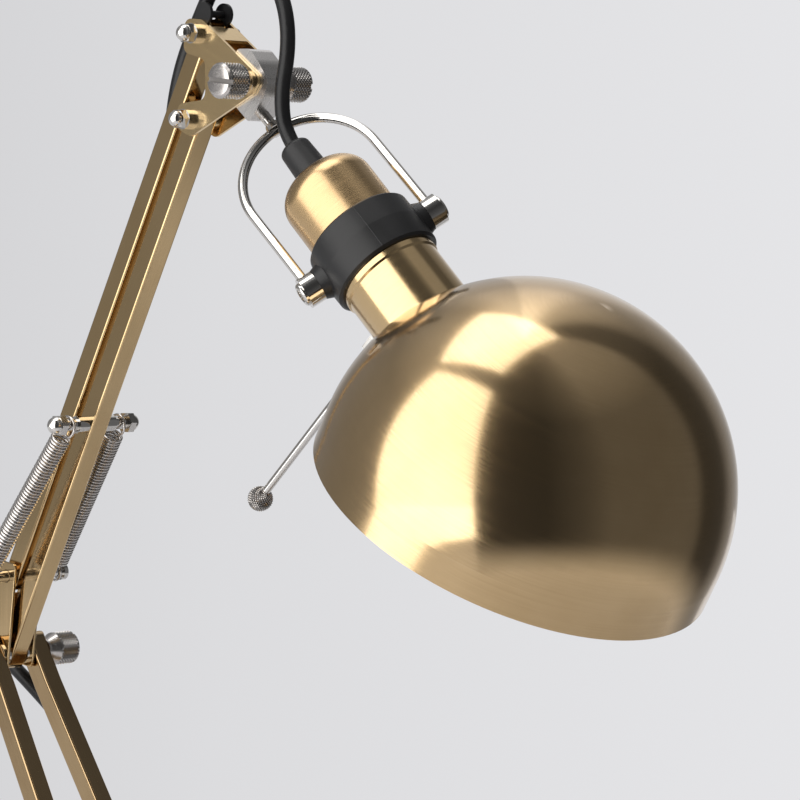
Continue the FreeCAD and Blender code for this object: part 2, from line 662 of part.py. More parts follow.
# Clevis: nickel fork on the bracket's bolt
CLEVIS_OUTLINE = [
    (-10.8, 4.0), (-6.8, 7.3), (-1.1, 7.0), (5.8, 5.4), (7.4, 1.5), (7.9, -9.1), (-1.4, -9.3), (-7.6, -5.2),
]
CLEVIS_FACE = 7.9
WEB_LOW = -9.1
WEB_HIGH = -3.5


def make_clevis():
    """Clevis, its bolt, the head knobs and the stem's nut."""
    outer = CLEVIS_IN + CLEVIS_T
    fork = None
    for low in (-outer, CLEVIS_IN):
        side = plate(CLEVIS_OUTLINE, 1.6, low, low + CLEVIS_T)
        fork = side if fork is None else fork.fuse(side)
    fork = fork.fuse(Part.makeBox(CLEVIS_T, 2 * outer, WEB_HIGH - WEB_LOW, V(CLEVIS_FACE - CLEVIS_T, -outer, WEB_LOW)))
    fork = fork.cut(rod(BOLT_D / 2 + FIT, V(0, -20, 0), V(0, 20, 0)))
    stem_hole = Part.makeCylinder(STEM_D / 2 + FIT, 6, V(CLEVIS_FACE - 4, 0, STEM_OFFSET), V(1, 0, 0))
    export("clevis", placed(fork.cut(stem_hole).removeSplitter(), CLEVIS_FRAME))

    end = PLATE_IN + PLATE_T + BOLT_REACH
    bolt = rod(BOLT_D / 2, V(0, -end, 0), V(0, end, 0)).fuse(rod(2.9, V(0, -CLEVIS_IN, 0), V(0, CLEVIS_IN, 0)))
    export("clevis_bolt", placed(bolt.removeSplitter(), CLEVIS_FRAME))
    knob_pair("head_knob", CLEVIS, PLATE_IN + PLATE_T, end, HEAD_KNOB_TURN)

    nut_face = CLEVIS_FACE - CLEVIS_T
    nut = dome_nut(5.2, 1.9, 1.4, STEM_D, 2.2)
    export("stem_nut", placed(nut, frame(
        CLEVIS + STEM_DIR * nut_face + STEM_SIDE * STEM_OFFSET, V(0, 1, 0), STEM_DIR * -1)))


# Bail: bent wire loop with an eye at each end and a stem
def make_bail():
    """Bail with eyes and stem, in one piece."""
    left = V(-BAIL_R, 0, 0)
    right = V(BAIL_R, 0, 0)
    rise = V(0, 0, -BAIL_LEG)
    path = [
        Part.LineSegment(left, left + rise).toShape(),
        Part.Arc(left + rise, V(0, 0, -BAIL_LEG - BAIL_R), right + rise).toShape(),
        Part.LineSegment(right + rise, right).toShape(),
    ]
    loop, _ = sweep(path, BAIL_D)
    apex = -BAIL_LEG - BAIL_R
    stem_top = CLEVIS_FACE - CLEVIS_T - 1.9 - HUB_ALONG
    stem = rod(STEM_D / 2, V(0, 0, apex), V(0, 0, stem_top))
    boss = revolved([(0, apex - 2.6), (STEM_D / 2 + 0.5, apex - 2.6), (STEM_D / 2 + 1.3, apex), (0, apex)])
    bail = loop.fuse([stem, boss])
    for side in (-1, 1):
        near = V(side * (BAIL_R - EYE_T / 2), 0, 0)
        far = V(side * (BAIL_R + EYE_T / 2), 0, 0)
        bail = bail.fuse(rod(EYE_D / 2, near, far))
    bail = bail.removeSplitter().cut(rod(2.0 + FIT, V(-60, 0, 0), V(60, 0, 0)))
    export("bail", placed(bail, BAIL_FRAME))


# Collar: two moulded halves round the neck, pinched by the bail
def make_collar():
    """Collar halves with conical bosses, and the pivot screws."""
    bore = CAP_R + 0.08
    ring = revolved([
        (bore, COLLAR_TOP), (COLLAR_R - 0.7, COLLAR_TOP), (COLLAR_R, COLLAR_TOP + 0.7), (COLLAR_R + 0.25, 0.6),
        (COLLAR_R, COLLAR_FOOT - 0.7), (COLLAR_R - 0.7, COLLAR_FOOT), (bore, COLLAR_FOOT),
    ])
    boss_end = BAIL_R - EYE_T / 2
    screws = []
    for side, word in ((-1, "left"), (1, "right")):
        boss = Part.makeCone(6.4, 4.6, boss_end - 14.6, V(side * 14.6, 0, 0), V(side, 0, 0))
        bored = boss.cut(Part.makeCylinder(bore, 40, V(0, 0, -20)))
        half_box = Part.makeBox(40, 80, 40, V(0 if side > 0 else -40, -40, -20))
        half = ring.common(half_box).fuse(bored).removeSplitter()
        pilot = rod(2.0 + FIT, V(side * 10, 0, 0), V(side * 30, 0, 0))
        export("collar_" + word, placed(half.cut(pilot), COLLAR_FRAME))
        shank = rod(2.0, V(side * (CAP_R + 0.6), 0, 0), V(side * (BAIL_R + EYE_T / 2), 0, 0))
        head_face = BAIL_R + EYE_T / 2
        head = revolved([(0, 0), (3.6, 0), (3.6, 0.6), ((3.1, 1.1), (2.0, 1.2)), (2.0, 0.5), (0, 0.5)])
        head = placed(head, frame(V(side * head_face, 0, 0), V(0, 1, 0), V(side, 0, 0)))
        screws.append(shank.fuse(head).removeSplitter())
    export("pivot_screws", *[placed(s, COLLAR_FRAME) for s in screws])


# Head: cap, neck, lampholder, bulb and shade
def make_head():
    """Everything that turns in the collar."""
    wall = 0.8
    cap = revolved([
        (CAP_R, CAP_FOOT), (CAP_R, CAP_TOP + CAP_ROUND), arc_points((CAP_R - CAP_ROUND, CAP_TOP + CAP_ROUND), CAP_ROUND, 0, -90),
        (SLEEVE_D / 2 - 1.2, CAP_TOP), (SLEEVE_D / 2 - 1.2, CAP_TOP + wall), (CAP_R - CAP_ROUND, CAP_TOP + wall),
        arc_points((CAP_R - CAP_ROUND, CAP_TOP + CAP_ROUND), CAP_ROUND - wall, -90, 0), (CAP_R - wall, CAP_FOOT),
    ])
    export("lamp_cap", placed(cap, HEAD_FRAME))

    bore = CORD_D / 2 + 0.1
    neck_r = SLEEVE_D / 2 - 1.3
    sleeve = revolved([
        (bore, CAP_TOP + wall + 2.0), (neck_r + 1.6, CAP_TOP + wall + 2.0), (neck_r + 1.6, CAP_TOP + wall),
        (neck_r, CAP_TOP + wall), (neck_r, CAP_TOP), (SLEEVE_D / 2, CAP_TOP), (SLEEVE_D / 2 - 0.5, SLEEVE_TOP + 1.6),
        ((SLEEVE_D / 2 - 0.9, SLEEVE_TOP + 0.5), (SLEEVE_D / 2 - 2.0, SLEEVE_TOP)), (bore, SLEEVE_TOP),
    ])
    export("strain_sleeve", placed(sleeve, HEAD_FRAME))

    inner = NECK_R - wall
    ledge = CAP_R
    neck = revolved([
        (ledge, CAP_FOOT), (ledge, COLLAR_FOOT), (BEAD_R, COLLAR_FOOT), (BEAD_R, COLLAR_FOOT + 2.0),
        (NECK_R, COLLAR_FOOT + 2.6), (NECK_R, NECK_END), (inner, NECK_END), (inner, COLLAR_FOOT + 2.0),
        (ledge - wall, COLLAR_FOOT + 1.0), (ledge - wall, CAP_FOOT),
    ])
    open_angle = math.radians(SHADE_OPEN_ANGLE)
    centre = V(SHADE_ASIDE, 0, SHADE_ALONG)
    opening = V(math.sin(open_angle), 0, math.cos(open_angle))
    ball = Part.makeSphere(SHADE_R, centre)
    export("neck", placed(neck.cut(ball), HEAD_FRAME))

    inside = SHADE_R - SHADE_T
    shell = revolved([
        (0, -SHADE_R), arc_points((0, 0), SHADE_R, -90, 0), (SHADE_R, SHADE_SKIRT),
        (inside, SHADE_SKIRT), (inside, 0), arc_points((0, 0), inside, 0, -90),
    ])
    shell = placed(shell, frame(centre, V(math.cos(open_angle), 0, -math.sin(open_angle)), opening))
    export("shade", placed(shell.cut(Part.makeCylinder(HOLDER_R + 0.3, 60)), HEAD_FRAME))

    ring_low = SHADE_ALONG - math.sqrt(inside ** 2 - (HOLDER_R + SHADE_ASIDE) ** 2)
    holder = revolved([
        (HOLDER_R - 3.2, -4.0), (HOLDER_R, -4.0), (HOLDER_R, ring_low + 3.4), (HOLDER_R - 0.6, ring_low + 4.0),
        (8.2, ring_low + 4.0), (8.2, 25.0), (7.1, 24.0), (7.1, 8.0), (4.0, 8.0), (4.0, 2.0), (HOLDER_R - 3.2, 2.0),
    ])
    export("lampholder", placed(holder, HEAD_FRAME))

    ring = revolved([
        (HOLDER_R + 0.05, ring_low + 3.0), (HOLDER_R + 5.0, ring_low + 3.0), (HOLDER_R + 5.0, ring_low - 2.0),
        (HOLDER_R + 0.05, ring_low - 2.0),
    ])
    inner_ball = Part.makeSphere(inside - 0.02, centre)
    export("shade_ring", placed(ring.common(inner_ball), HEAD_FRAME))

    contact = BULB_ROOT - BULB_THREAD
    base = revolved([
        (0, contact), (2.2, contact), (6.4, contact + 3.0), (6.8, contact + 4.0), (6.8, BULB_ROOT),
        (0, BULB_ROOT),
    ])
    export("bulb_base", placed(base, HEAD_FRAME))
    low = 18.0
    glass = revolved([
        (6.8, BULB_ROOT), (7.4, BULB_ROOT + 6.0), *bulb_arc(BULB_R, low, 90),
        (0, BULB_ALONG + BULB_R - GLASS_T), *reversed_bulb_arc(BULB_R - GLASS_T, low, 90), (7.4 - GLASS_T, BULB_ROOT + 6.0),
        (6.8 - GLASS_T, BULB_ROOT),
    ])
    export("bulb_glass", placed(glass, HEAD_FRAME))

    foot_x = math.sqrt(NECK_R ** 2 - AIM_ASIDE ** 2)
    start = V(foot_x + 1.5, AIM_ASIDE, AIM_ALONG)
    end = V(foot_x + AIM_LENGTH, AIM_ASIDE, AIM_ALONG)
    stalk = rod(AIM_D / 2, start, end)
    tab = Part.makeBox(6.0, 3.4, 3.4, V(foot_x - 2.0, AIM_ASIDE - 1.7, AIM_ALONG - 1.7 - 1.2))
    tab = tab.cut(Part.makeCylinder(NECK_R + 0.02, 20, V(0, 0, AIM_ALONG - 10)))
    pin = stalk.fuse(tab).removeSplitter().cut(Part.makeSphere(SHADE_R + 0.3, centre)).cut(neck)
    export("aiming_rod", placed(pin, HEAD_FRAME))
    ball_centre = end + V(BALL_D * 0.3, 0, 0)
    knurl = Part.makeSphere(BALL_D / 2, ball_centre)
    knurl = knurl.cut(rod(AIM_D / 2 + FIT, start, end + V(0.1, 0, 0)))
    export("rod_ball", placed(knurl, HEAD_FRAME))


def bulb_arc(radius, low, high):
    """Outline steps of the bulb's globe from its lower angle below the level to its top."""
    turn = math.radians(-low - 30)
    start = (radius * math.cos(turn), BULB_ALONG + radius * math.sin(turn))
    return start, arc_points((0, BULB_ALONG), radius, -low - 30, high)


def reversed_bulb_arc(radius, low, high):
    """The same globe outline from its top down to the lower angle."""
    return (arc_points((0, BULB_ALONG), radius, high, -low - 30),)


# Cord from the lampholder to the base
def leg_point(x, inward, z):
    """Point of the right leg's frame: forward offset, offset towards the middle, height along the leg."""
    share = (z - LEG_STRAIGHT) / (LEG_LENGTH - 2 * LEG_STRAIGHT)
    y = LEG_FOOT_Y + (LEG_TOP_Y - LEG_FOOT_Y) * min(max(share, 0), 1)
    return LEG_FRAME.multVec(V(x, y - inward, z))


def make_inner_cords():
    """Cord over the frame, in the back bar, round the elbow, in the leg and into the stud."""
    out = BACK_PIN - BAR_DIR * (CORD_ENTRY + CORD_DIP + 16)
    cord("head_cord", [
        HUB + NECK_DIR * (SLEEVE_TOP + 5.5), HUB + NECK_DIR * (SLEEVE_TOP - 4.5),
        CLEVIS + V(12.8, -4.1, -4.28), CLEVIS + V(15.4, -3.2, 9.72), CLEVIS + V(13.0, -2.2, 22.22),
        CLEVIS + V(5.7, -1.2, 32.72), CLEVIS + V(-6.8, -0.4, 37.22), CLEVIS + V(-18.3, 0, 33.22),
        CLEVIS + V(-25.1, 0, 23.22), BACK_PIN - BAR_SIDE * CORD_BEHIND - BAR_DIR * CORD_ENTRY,
        BACK_PIN - BAR_DIR * (CORD_ENTRY + CORD_DIP), out,
    ])
    low = LOWER_ROD + BAR_DIR * 46
    tube = rod(CORD_D / 2, out, low)
    print("arm_cord length", round((out - low).Length, 1))
    export("arm_cord", tube)
    entry = leg_point(0, 0, LEG_LENGTH - 40)
    cord("elbow_cord", [
        low, LOWER_ROD + BAR_DIR * 31, LOWER_ROD + BAR_DIR * 17 - BAR_SIDE * 7.5, ELBOW + V(-9.0, 2.0, 34.22),
        ELBOW + V(-18.0, 4.0, 16.72), ELBOW + V(-14.5, 6.5, -1.28), leg_point(-6.8, 0.3, LEG_LENGTH - 10),
        leg_point(0, 0, LEG_LENGTH - 26), entry,
    ])
    foot = leg_point(0, 0, 66)
    export("leg_cord", rod(CORD_D / 2, entry, foot))
    print("leg_cord length", round((entry - foot).Length, 1))
    cord("yoke_cord", [
        foot, leg_point(0, 0, 51), leg_point(0, 5.5, 36), V(-9.5, 4.5, 58.0), V(-2.2, 0.9, 46.0), V(0, 0, 33.5),
        V(0, 0, 28.0),
    ])


# Mains lead, in-line switch, coil and plug
RELIEF_END = -BASE_D / 2 - 29.0
SWITCH_Z = 7.5
SWITCH_X = -BASE_D / 2 - 81.0
SWITCH_LOW = 62.0
SWITCH_LENGTH = 50.0
COIL_START = V(-BASE_D / 2 - 66.0, 167.5, CORD_D / 2 + 0.1)
SWITCH_W = 22.0
ROCKER_W = 9.0
ROCKER_LENGTH = 17.6
ROCKER_PLAY = 0.2
ROCKER_SWEEP = 0.9
ROCKER_PIN_R = 1.1
ROCKER_TILT = 7.0
RELIEF_PLAY = 0.3
PLUG_LENGTH = 36.0
PLUG_Z = 8.0
PIN_LENGTH = 19.0
PIN_APART = 18.6


def coil_knots():
    """Points of the coil at eighth turns, spiralling in and out layer by layer."""
    knots = []
    radius = COIL_R + COIL_STEP * COIL_TURNS_FLAT / 2
    height = 0.0
    turn = 0.0
    step = 0.125
    for layer in range(COIL_LAYERS):
        inward = -1 if layer % 2 == 0 else 1
        for _ in range(int(COIL_TURNS_FLAT / step)):
            knots.append((turn, radius, height))
            turn += step
            radius += inward * COIL_STEP * step
        if layer < COIL_LAYERS - 1:
            for _ in range(int(0.5 / step)):
                knots.append((turn, radius, height))
                turn += step
                height += COIL_STEP * step / 0.5
    knots.append((turn, radius, height))
    return knots


def make_coil():
    """Coil of the put-away length; returns its far end and the direction there."""
    ahead = V(0.394, 0.919, 0).normalize()
    right = V(ahead.y, -ahead.x, 0)
    knots = coil_knots()
    centre = COIL_START + right * knots[0][1]
    spots = []
    for turn, radius, height in knots:
        angle = 2 * math.pi * turn
        outward = right * -math.cos(angle) + ahead * math.sin(angle)
        spots.append(centre + outward * radius + V(0, 0, height))
    tangents = []
    for i in range(len(spots)):
        angle = 2 * math.pi * knots[i][0]
        around = right * math.sin(angle) + ahead * math.cos(angle)
        before = knots[max(i - 1, 0)]
        after = knots[min(i + 1, len(knots) - 1)]
        gap = (after[0] - before[0]) * 2 * math.pi * knots[i][1]
        outward = right * -math.cos(angle) + ahead * math.sin(angle)
        lean = 0 if i in (0, len(spots) - 1) else 1
        slope = around + outward * ((after[1] - before[1]) / gap * lean) + V(0, 0, (after[2] - before[2]) / gap * lean)
        tangents.append(slope.normalize())
    edges = [Part.LineSegment(spots[0] - tangents[0] * CORD_D, spots[0]).toShape()]
    for i in range(len(spots) - 1):
        edges.extend(biarc(spots[i], tangents[i], spots[i + 1], tangents[i + 1]))
    edges.append(Part.LineSegment(spots[-1], spots[-1] + tangents[-1] * CORD_D).toShape())
    tube, length = sweep(edges, CORD_D)
    section = math.pi * (CORD_D / 2) ** 2
    print("lead_coil length", round(length, 1), "volume share", round(tube.Volume / (section * length), 4))
    print("lead_coil least gap", round(least_gap(edges), 2))
    export("lead_coil", tube)
    return spots[0] - tangents[0] * CORD_D, tangents[0], spots[-1] + tangents[-1] * CORD_D, tangents[-1]


def biarc(start, start_dir, end, end_dir):
    """Two tangent arcs between points with given directions."""
    chord = end - start
    both = start_dir + end_dir
    spread = 2 * (1 - start_dir.dot(end_dir))
    product = chord.dot(both)
    reach = (-product + math.sqrt(product ** 2 + spread * chord.dot(chord))) / spread
    first = start + start_dir * reach
    second = end - end_dir * reach
    middle = (first + second) * 0.5
    return [tangent_arc(start, first, middle)[0].toShape(), tangent_arc(middle, second, end)[0].toShape()]


def least_gap(edges):
    """Smallest clear distance between separate turns of a wound tube."""
    spots = []
    along = 0.0
    for edge in edges:
        count = max(2, int(edge.Length / 3))
        for point in edge.discretize(count + 1)[:-1]:
            spots.append((along, point))
            along += edge.Length / count
    least = 99.0
    for i in range(len(spots)):
        for j in range(i + 1, len(spots)):
            if spots[j][0] - spots[i][0] > 40.0:
                least = min(least, (spots[j][1] - spots[i][1]).Length)
    return least - CORD_D


def make_lead():
    """Mains lead from the stud to the coil, with what it carries."""
    start, start_dir, end, end_dir = make_coil()
    cord("mains_lead", [
        V(0, 0, 28.0), V(0, 0, LEAD_Z), V(-30, 0.8, LEAD_Z), V(-62, 0, LEAD_Z), V(RELIEF_END - 12, 0, LEAD_Z),
        V(RELIEF_END - 30, 2.0, 2.6), V(SWITCH_X + 7, 13.0, 2.5), V(SWITCH_X + 1, 33.0, 2.7),
        V(SWITCH_X, SWITCH_LOW - 9, SWITCH_Z), V(SWITCH_X, SWITCH_LOW + SWITCH_LENGTH + 9, SWITCH_Z),
        V(SWITCH_X + 2.5, 142.0, 3.4), start - start_dir * 12, start,
    ], {1: 13.8, 8: 36.0, 9: 36.0})
    make_relief()
    make_switch()
    make_plug(end, end_dir)


def make_relief():
    """Moulded sleeve that carries the lead through the cover's wall and holds it on both sides."""
    outer_face = -BASE_D / 2 - RELIEF_PLAY
    inner_face = -BASE_D / 2 + COVER_T + RELIEF_PLAY
    taper = Part.makeCone(5.2, 3.2, outer_face - RELIEF_END, V(outer_face, 0, LEAD_Z), V(-1, 0, 0))
    shank = rod(RELIEF_NECK_R, V(outer_face, 0, LEAD_Z), V(inner_face, 0, LEAD_Z))
    flange = rod(5.6, V(inner_face, 0, LEAD_Z), V(inner_face + 2.0, 0, LEAD_Z))
    above_pad = Part.makeBox(10.0, 30.0, 30.0, V(inner_face - 4.0, -15.0, PAD_T))
    relief = taper.fuse(shank).fuse(flange.common(above_pad))
    relief = relief.cut(rod(CORD_D / 2 + FIT, V(RELIEF_END - 5, 0, LEAD_Z), V(inner_face + 5, 0, LEAD_Z)))
    export("lead_relief", relief.removeSplitter())


def make_switch():
    """In-line switch on the lead: housing with a rocker in its window."""
    half_w = SWITCH_W / 2
    high = SWITCH_Z * 2 + 1.5
    far = SWITCH_LOW + SWITCH_LENGTH
    middle = SWITCH_LOW + SWITCH_LENGTH / 2
    floor = SWITCH_Z + CORD_D / 2 + 0.8
    outline = [(SWITCH_LOW, -half_w), (far, -half_w), (far, half_w), (SWITCH_LOW, half_w)]
    body = placed(plate(outline, 9.0, 0, high), frame(V(SWITCH_X, 0, 0), V(0, 1, 0), V(1, 0, 0)))
    top_edges = [e for e in body.Edges if all(abs(v.Point.z - high) < 1e-6 for v in e.Vertexes)]
    body = body.makeFillet(2.0, top_edges)
    half_x = ROCKER_W / 2 + ROCKER_PLAY
    half_y = ROCKER_LENGTH / 2 + ROCKER_SWEEP
    window = Part.makeBox(2 * half_x, 2 * half_y, high, V(SWITCH_X - half_x, middle - half_y, floor))
    channel = rod(CORD_D / 2 + FIT, V(SWITCH_X, SWITCH_LOW - 5, SWITCH_Z), V(SWITCH_X, far + 5, SWITCH_Z))
    pivot = V(SWITCH_X, middle, floor + 2.4)
    seats = rod(ROCKER_PIN_R + FIT, pivot - V(half_x + 0.9, 0, 0), pivot + V(half_x + 0.9, 0, 0))
    export("switch_body", body.cut(window).cut(channel).cut(seats))

    half_l = ROCKER_LENGTH / 2
    profile = [
        V(0, middle - half_l, floor + 2.6), V(0, middle, floor), V(0, middle + half_l, floor + 2.6),
        V(0, middle + half_l, high + 1.0), V(0, middle, high - 0.6), V(0, middle - half_l, high + 1.0),
    ]
    rocker = Part.Face(Part.makePolygon(profile + profile[:1])).extrude(V(ROCKER_W, 0, 0))
    rocker.translate(V(SWITCH_X - ROCKER_W / 2, 0, 0))
    pin = rod(ROCKER_PIN_R, pivot - V(half_x + 0.8, 0, 0), pivot + V(half_x + 0.8, 0, 0))
    rocker = rocker.fuse(pin).removeSplitter()
    rocker.rotate(pivot, V(1, 0, 0), -ROCKER_TILT)
    export("switch_rocker", rocker)
    print("rocker pivot", pivot)


def make_plug(end, end_dir):
    """Tail of the lead past the coil, and the moulded plug with its two pins."""
    ahead = V(end_dir.x, end_dir.y, 0).normalize()
    aside = V(-ahead.y, ahead.x, 0)
    spot1 = end + ahead * 13
    spot2 = spot1 + ahead * 18 + aside * 1.5 + V(0, 0, -5.0)
    spot3 = spot2 + ahead * 16 + aside * 3.5
    spot3.z = PLUG_Z
    plug_dir = (ahead * 0.97 + aside * 0.24).normalize()
    spot4 = spot3 + plug_dir * 15
    cord("plug_tail", [end, spot1, spot2, spot3, spot4])
    place = frame(spot4, V(0, 0, 1), plug_dir)
    outline = [(-4.0, 0), (-4.8, 12.0), (-7.8, PLUG_LENGTH), (7.8, PLUG_LENGTH), (4.8, 12.0), (4.0, 0)]
    wide = [(-5.0, 0), (-6.0, 12.0), (-12.5, PLUG_LENGTH), (12.5, PLUG_LENGTH), (6.0, 12.0), (5.0, 0)]
    slim = plate(outline, 2.0, -20, 20)
    broad = placed(plate(wide, 2.0, -20, 20), frame(V(0, 0, 0), V(0, 1, 0), V(0, 0, 1)))
    export("plug_body", placed(slim.common(broad), place))
    pins = [Part.makeCylinder(2.0, PIN_LENGTH, V(0, side * PIN_APART / 2, PLUG_LENGTH)) for side in (-1, 1)]
    export("plug_pins", *[placed(pin, place) for pin in pins])


def main():
    """Build and export every node."""
    make_base()
    make_yoke()
    make_legs()
    make_elbow()
    make_bars()
    make_springs()
    make_head_bracket()
    make_clevis()
    make_bail()
    make_collar()
    make_head()
    make_inner_cords()
    make_lead()


main()
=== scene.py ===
"""Looks of the work lamp: camera, studio, cords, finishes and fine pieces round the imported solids."""

import logging
import math
from collections.abc import Callable
from dataclasses import dataclass
from enum import Enum

import bmesh
import bpy
from mathutils import Matrix, Vector

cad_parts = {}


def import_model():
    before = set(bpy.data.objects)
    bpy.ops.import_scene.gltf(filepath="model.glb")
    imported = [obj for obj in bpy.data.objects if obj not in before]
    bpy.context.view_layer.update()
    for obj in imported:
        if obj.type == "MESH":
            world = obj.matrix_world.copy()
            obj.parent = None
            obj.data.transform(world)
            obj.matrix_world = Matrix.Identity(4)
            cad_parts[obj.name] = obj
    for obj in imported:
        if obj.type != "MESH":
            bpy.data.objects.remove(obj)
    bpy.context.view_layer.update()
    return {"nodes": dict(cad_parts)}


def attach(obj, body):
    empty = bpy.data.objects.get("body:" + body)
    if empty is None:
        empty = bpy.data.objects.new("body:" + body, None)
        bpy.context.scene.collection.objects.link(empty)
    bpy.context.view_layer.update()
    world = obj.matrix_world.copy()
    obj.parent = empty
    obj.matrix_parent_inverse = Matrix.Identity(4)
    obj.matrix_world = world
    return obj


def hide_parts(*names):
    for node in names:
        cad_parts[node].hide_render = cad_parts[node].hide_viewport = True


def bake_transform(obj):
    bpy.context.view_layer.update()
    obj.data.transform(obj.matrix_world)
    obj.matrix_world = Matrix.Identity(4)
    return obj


Colour = tuple[float, float, float]
Outline = tuple[tuple[float, float], ...]
Socket = bpy.types.NodeSocket

LOG = logging.getLogger("work lamp")
MM = 0.001


def mm(x: float, y: float, z: float) -> Vector:
    """Point or offset given in millimetres, as metres."""
    return Vector((x, y, z)) * MM


# Skeleton of the lamp at rest, with lengths in millimetres
TUBE = 6.8
LEG_LENGTH = 190.0
LEG_FOOT_Y = 17.4
LEG_TOP_Y = 9.7
LEG_STRAIGHT = 12.0
BAR_LENGTH = 193.3
BAR_TO_ROD = 86.2
STEM_LENGTH = 68.35
STEM_ASIDE = 6.33
HEAD_PLATE_Y = 5.7
BOLT_HOLE = 2.06
STEM_HOLE = 1.76
ROD_PLACE = (3.5, 25.8)
CORD_D = 4.6
LEG_LEAN = math.radians(31.05)
BAR_LEAN = math.radians(27.97)
STEM_LEAN = math.radians(48.05)
BAIL_TURN = math.radians(45.45)
HEAD_TILT = math.radians(6.38)
SHADE_TURN = math.radians(-44.86)
SHADE_OPEN = math.radians(74.61)

X_AXIS = Vector((1, 0, 0))
Y_AXIS = Vector((0, 1, 0))
Z_AXIS = Vector((0, 0, 1))
LEG_DIR = Vector((-math.sin(LEG_LEAN), 0, math.cos(LEG_LEAN)))
LEG_FRONT = Vector((math.cos(LEG_LEAN), 0, math.sin(LEG_LEAN)))
BAR_DIR = Vector((math.sin(BAR_LEAN), 0, math.cos(BAR_LEAN)))
BAR_SIDE = Vector((math.cos(BAR_LEAN), 0, -math.sin(BAR_LEAN)))
STEM_DIR = Vector((math.sin(STEM_LEAN), 0, -math.cos(STEM_LEAN)))
STEM_SIDE = Vector((math.cos(STEM_LEAN), 0, math.sin(STEM_LEAN)))

ORIGIN = mm(0, 0, 0)
BASE_PIVOT = mm(0, 0, 42)
ELBOW = BASE_PIVOT + LEG_DIR * LEG_LENGTH * MM
LOWER_ROD = ELBOW + mm(ROD_PLACE[0], 0, ROD_PLACE[1])
FRONT_PIN = ELBOW + BAR_DIR * BAR_LENGTH * MM
BACK_PIN = LOWER_ROD + BAR_DIR * BAR_LENGTH * MM
UPPER_ROD = ELBOW + BAR_DIR * BAR_TO_ROD * MM
CLEVIS = FRONT_PIN + mm(26.14, 0, 10.28)
HUB = CLEVIS + STEM_DIR * STEM_LENGTH * MM - STEM_SIDE * STEM_ASIDE * MM
HUB_DIR = Y_AXIS * math.cos(BAIL_TURN) + STEM_SIDE * math.sin(BAIL_TURN)
SWING_DIR = HUB_DIR.cross(STEM_DIR)
NECK_DIR = STEM_DIR * math.cos(HEAD_TILT) + SWING_DIR * math.sin(HEAD_TILT)
NECK_SIDE = HUB_DIR.cross(NECK_DIR)
SHADE_DIR = NECK_SIDE * math.cos(SHADE_TURN) + HUB_DIR * math.sin(SHADE_TURN)
SHADE_CENTRE = HUB + SHADE_DIR * 7.92 * MM + NECK_DIR * 85.36 * MM
SHADE_AXIS = SHADE_DIR * math.sin(SHADE_OPEN) + NECK_DIR * math.cos(SHADE_OPEN)


def axes(origin: Vector, x_dir: Vector, z_dir: Vector) -> Matrix:
    """Placement whose local X and Z run along two directions.

    Args:
        origin: where the local origin comes to lie.
        x_dir: direction of local X.
        z_dir: direction of local Z, at a right angle to it.

    Returns:
        The placement as a matrix.
    """
    x = x_dir.normalized()
    z = z_dir.normalized()
    y = z.cross(x)
    placement = Matrix((x, y, z)).transposed().to_4x4()
    placement.translation = origin
    return placement


def take(obj: bpy.types.Object) -> bpy.types.Object:
    """Makes one object the only selected and the active one."""
    bpy.ops.object.select_all(action="DESELECT")
    obj.select_set(True)
    bpy.context.view_layer.objects.active = obj
    return obj


def settle(obj: bpy.types.Object, place: Matrix = Matrix.Identity(4)) -> None:
    """Puts a piece's place into its mesh, so that its object stays at the origin."""
    obj.data.transform(place @ obj.matrix_world)
    obj.matrix_world = Matrix.Identity(4)


def smooth(obj: bpy.types.Object, degrees: float) -> bpy.types.Object:
    """Shades a piece smooth, with edges sharper than an angle left crisp."""
    take(obj)
    bpy.ops.object.shade_smooth_by_angle(angle=math.radians(degrees))
    return obj


def paint(obj: bpy.types.Object, material: bpy.types.Material) -> None:
    """Gives all of a new piece one material."""
    obj.data.materials.clear()
    obj.data.materials.append(material)


def bring(obj: bpy.types.Object, place: Matrix) -> None:
    """Moves a piece that was modelled in millimetres to its place."""
    obj.data.transform(place @ Matrix.Scale(MM, 4))


def stand(name: str, data: bpy.types.ID) -> bpy.types.Object:
    """New object of a mesh, curve, lamp or camera, linked to the scene."""
    obj = bpy.data.objects.new(name, data)
    bpy.context.scene.collection.objects.link(obj)
    return obj


def shaped(name: str, shape: bmesh.types.BMesh) -> bpy.types.Object:
    """New object of a finished shape, which is freed."""
    mesh = bpy.data.meshes.new(name)
    shape.to_mesh(mesh)
    shape.free()
    return stand(name, mesh)


def added(operator: Callable, name: str, **settings: object) -> bpy.types.Object:
    """New object that an operator adds while nothing else is selected."""
    bpy.ops.object.select_all(action="DESELECT")
    operator(**settings)
    obj = bpy.context.object
    obj.name = name
    return obj


def hand_in(piece: bpy.types.Object, material: bpy.types.Material, slot: str, *nodes: str) -> None:
    """Finishes a new piece.

    Args:
        piece: the piece.
        material: its material.
        slot: the CAD material that it stands for; not used.
        nodes: the CAD solids that it takes the place of, if any.
    """
    paint(piece, material)
    if nodes:
        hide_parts(*nodes)


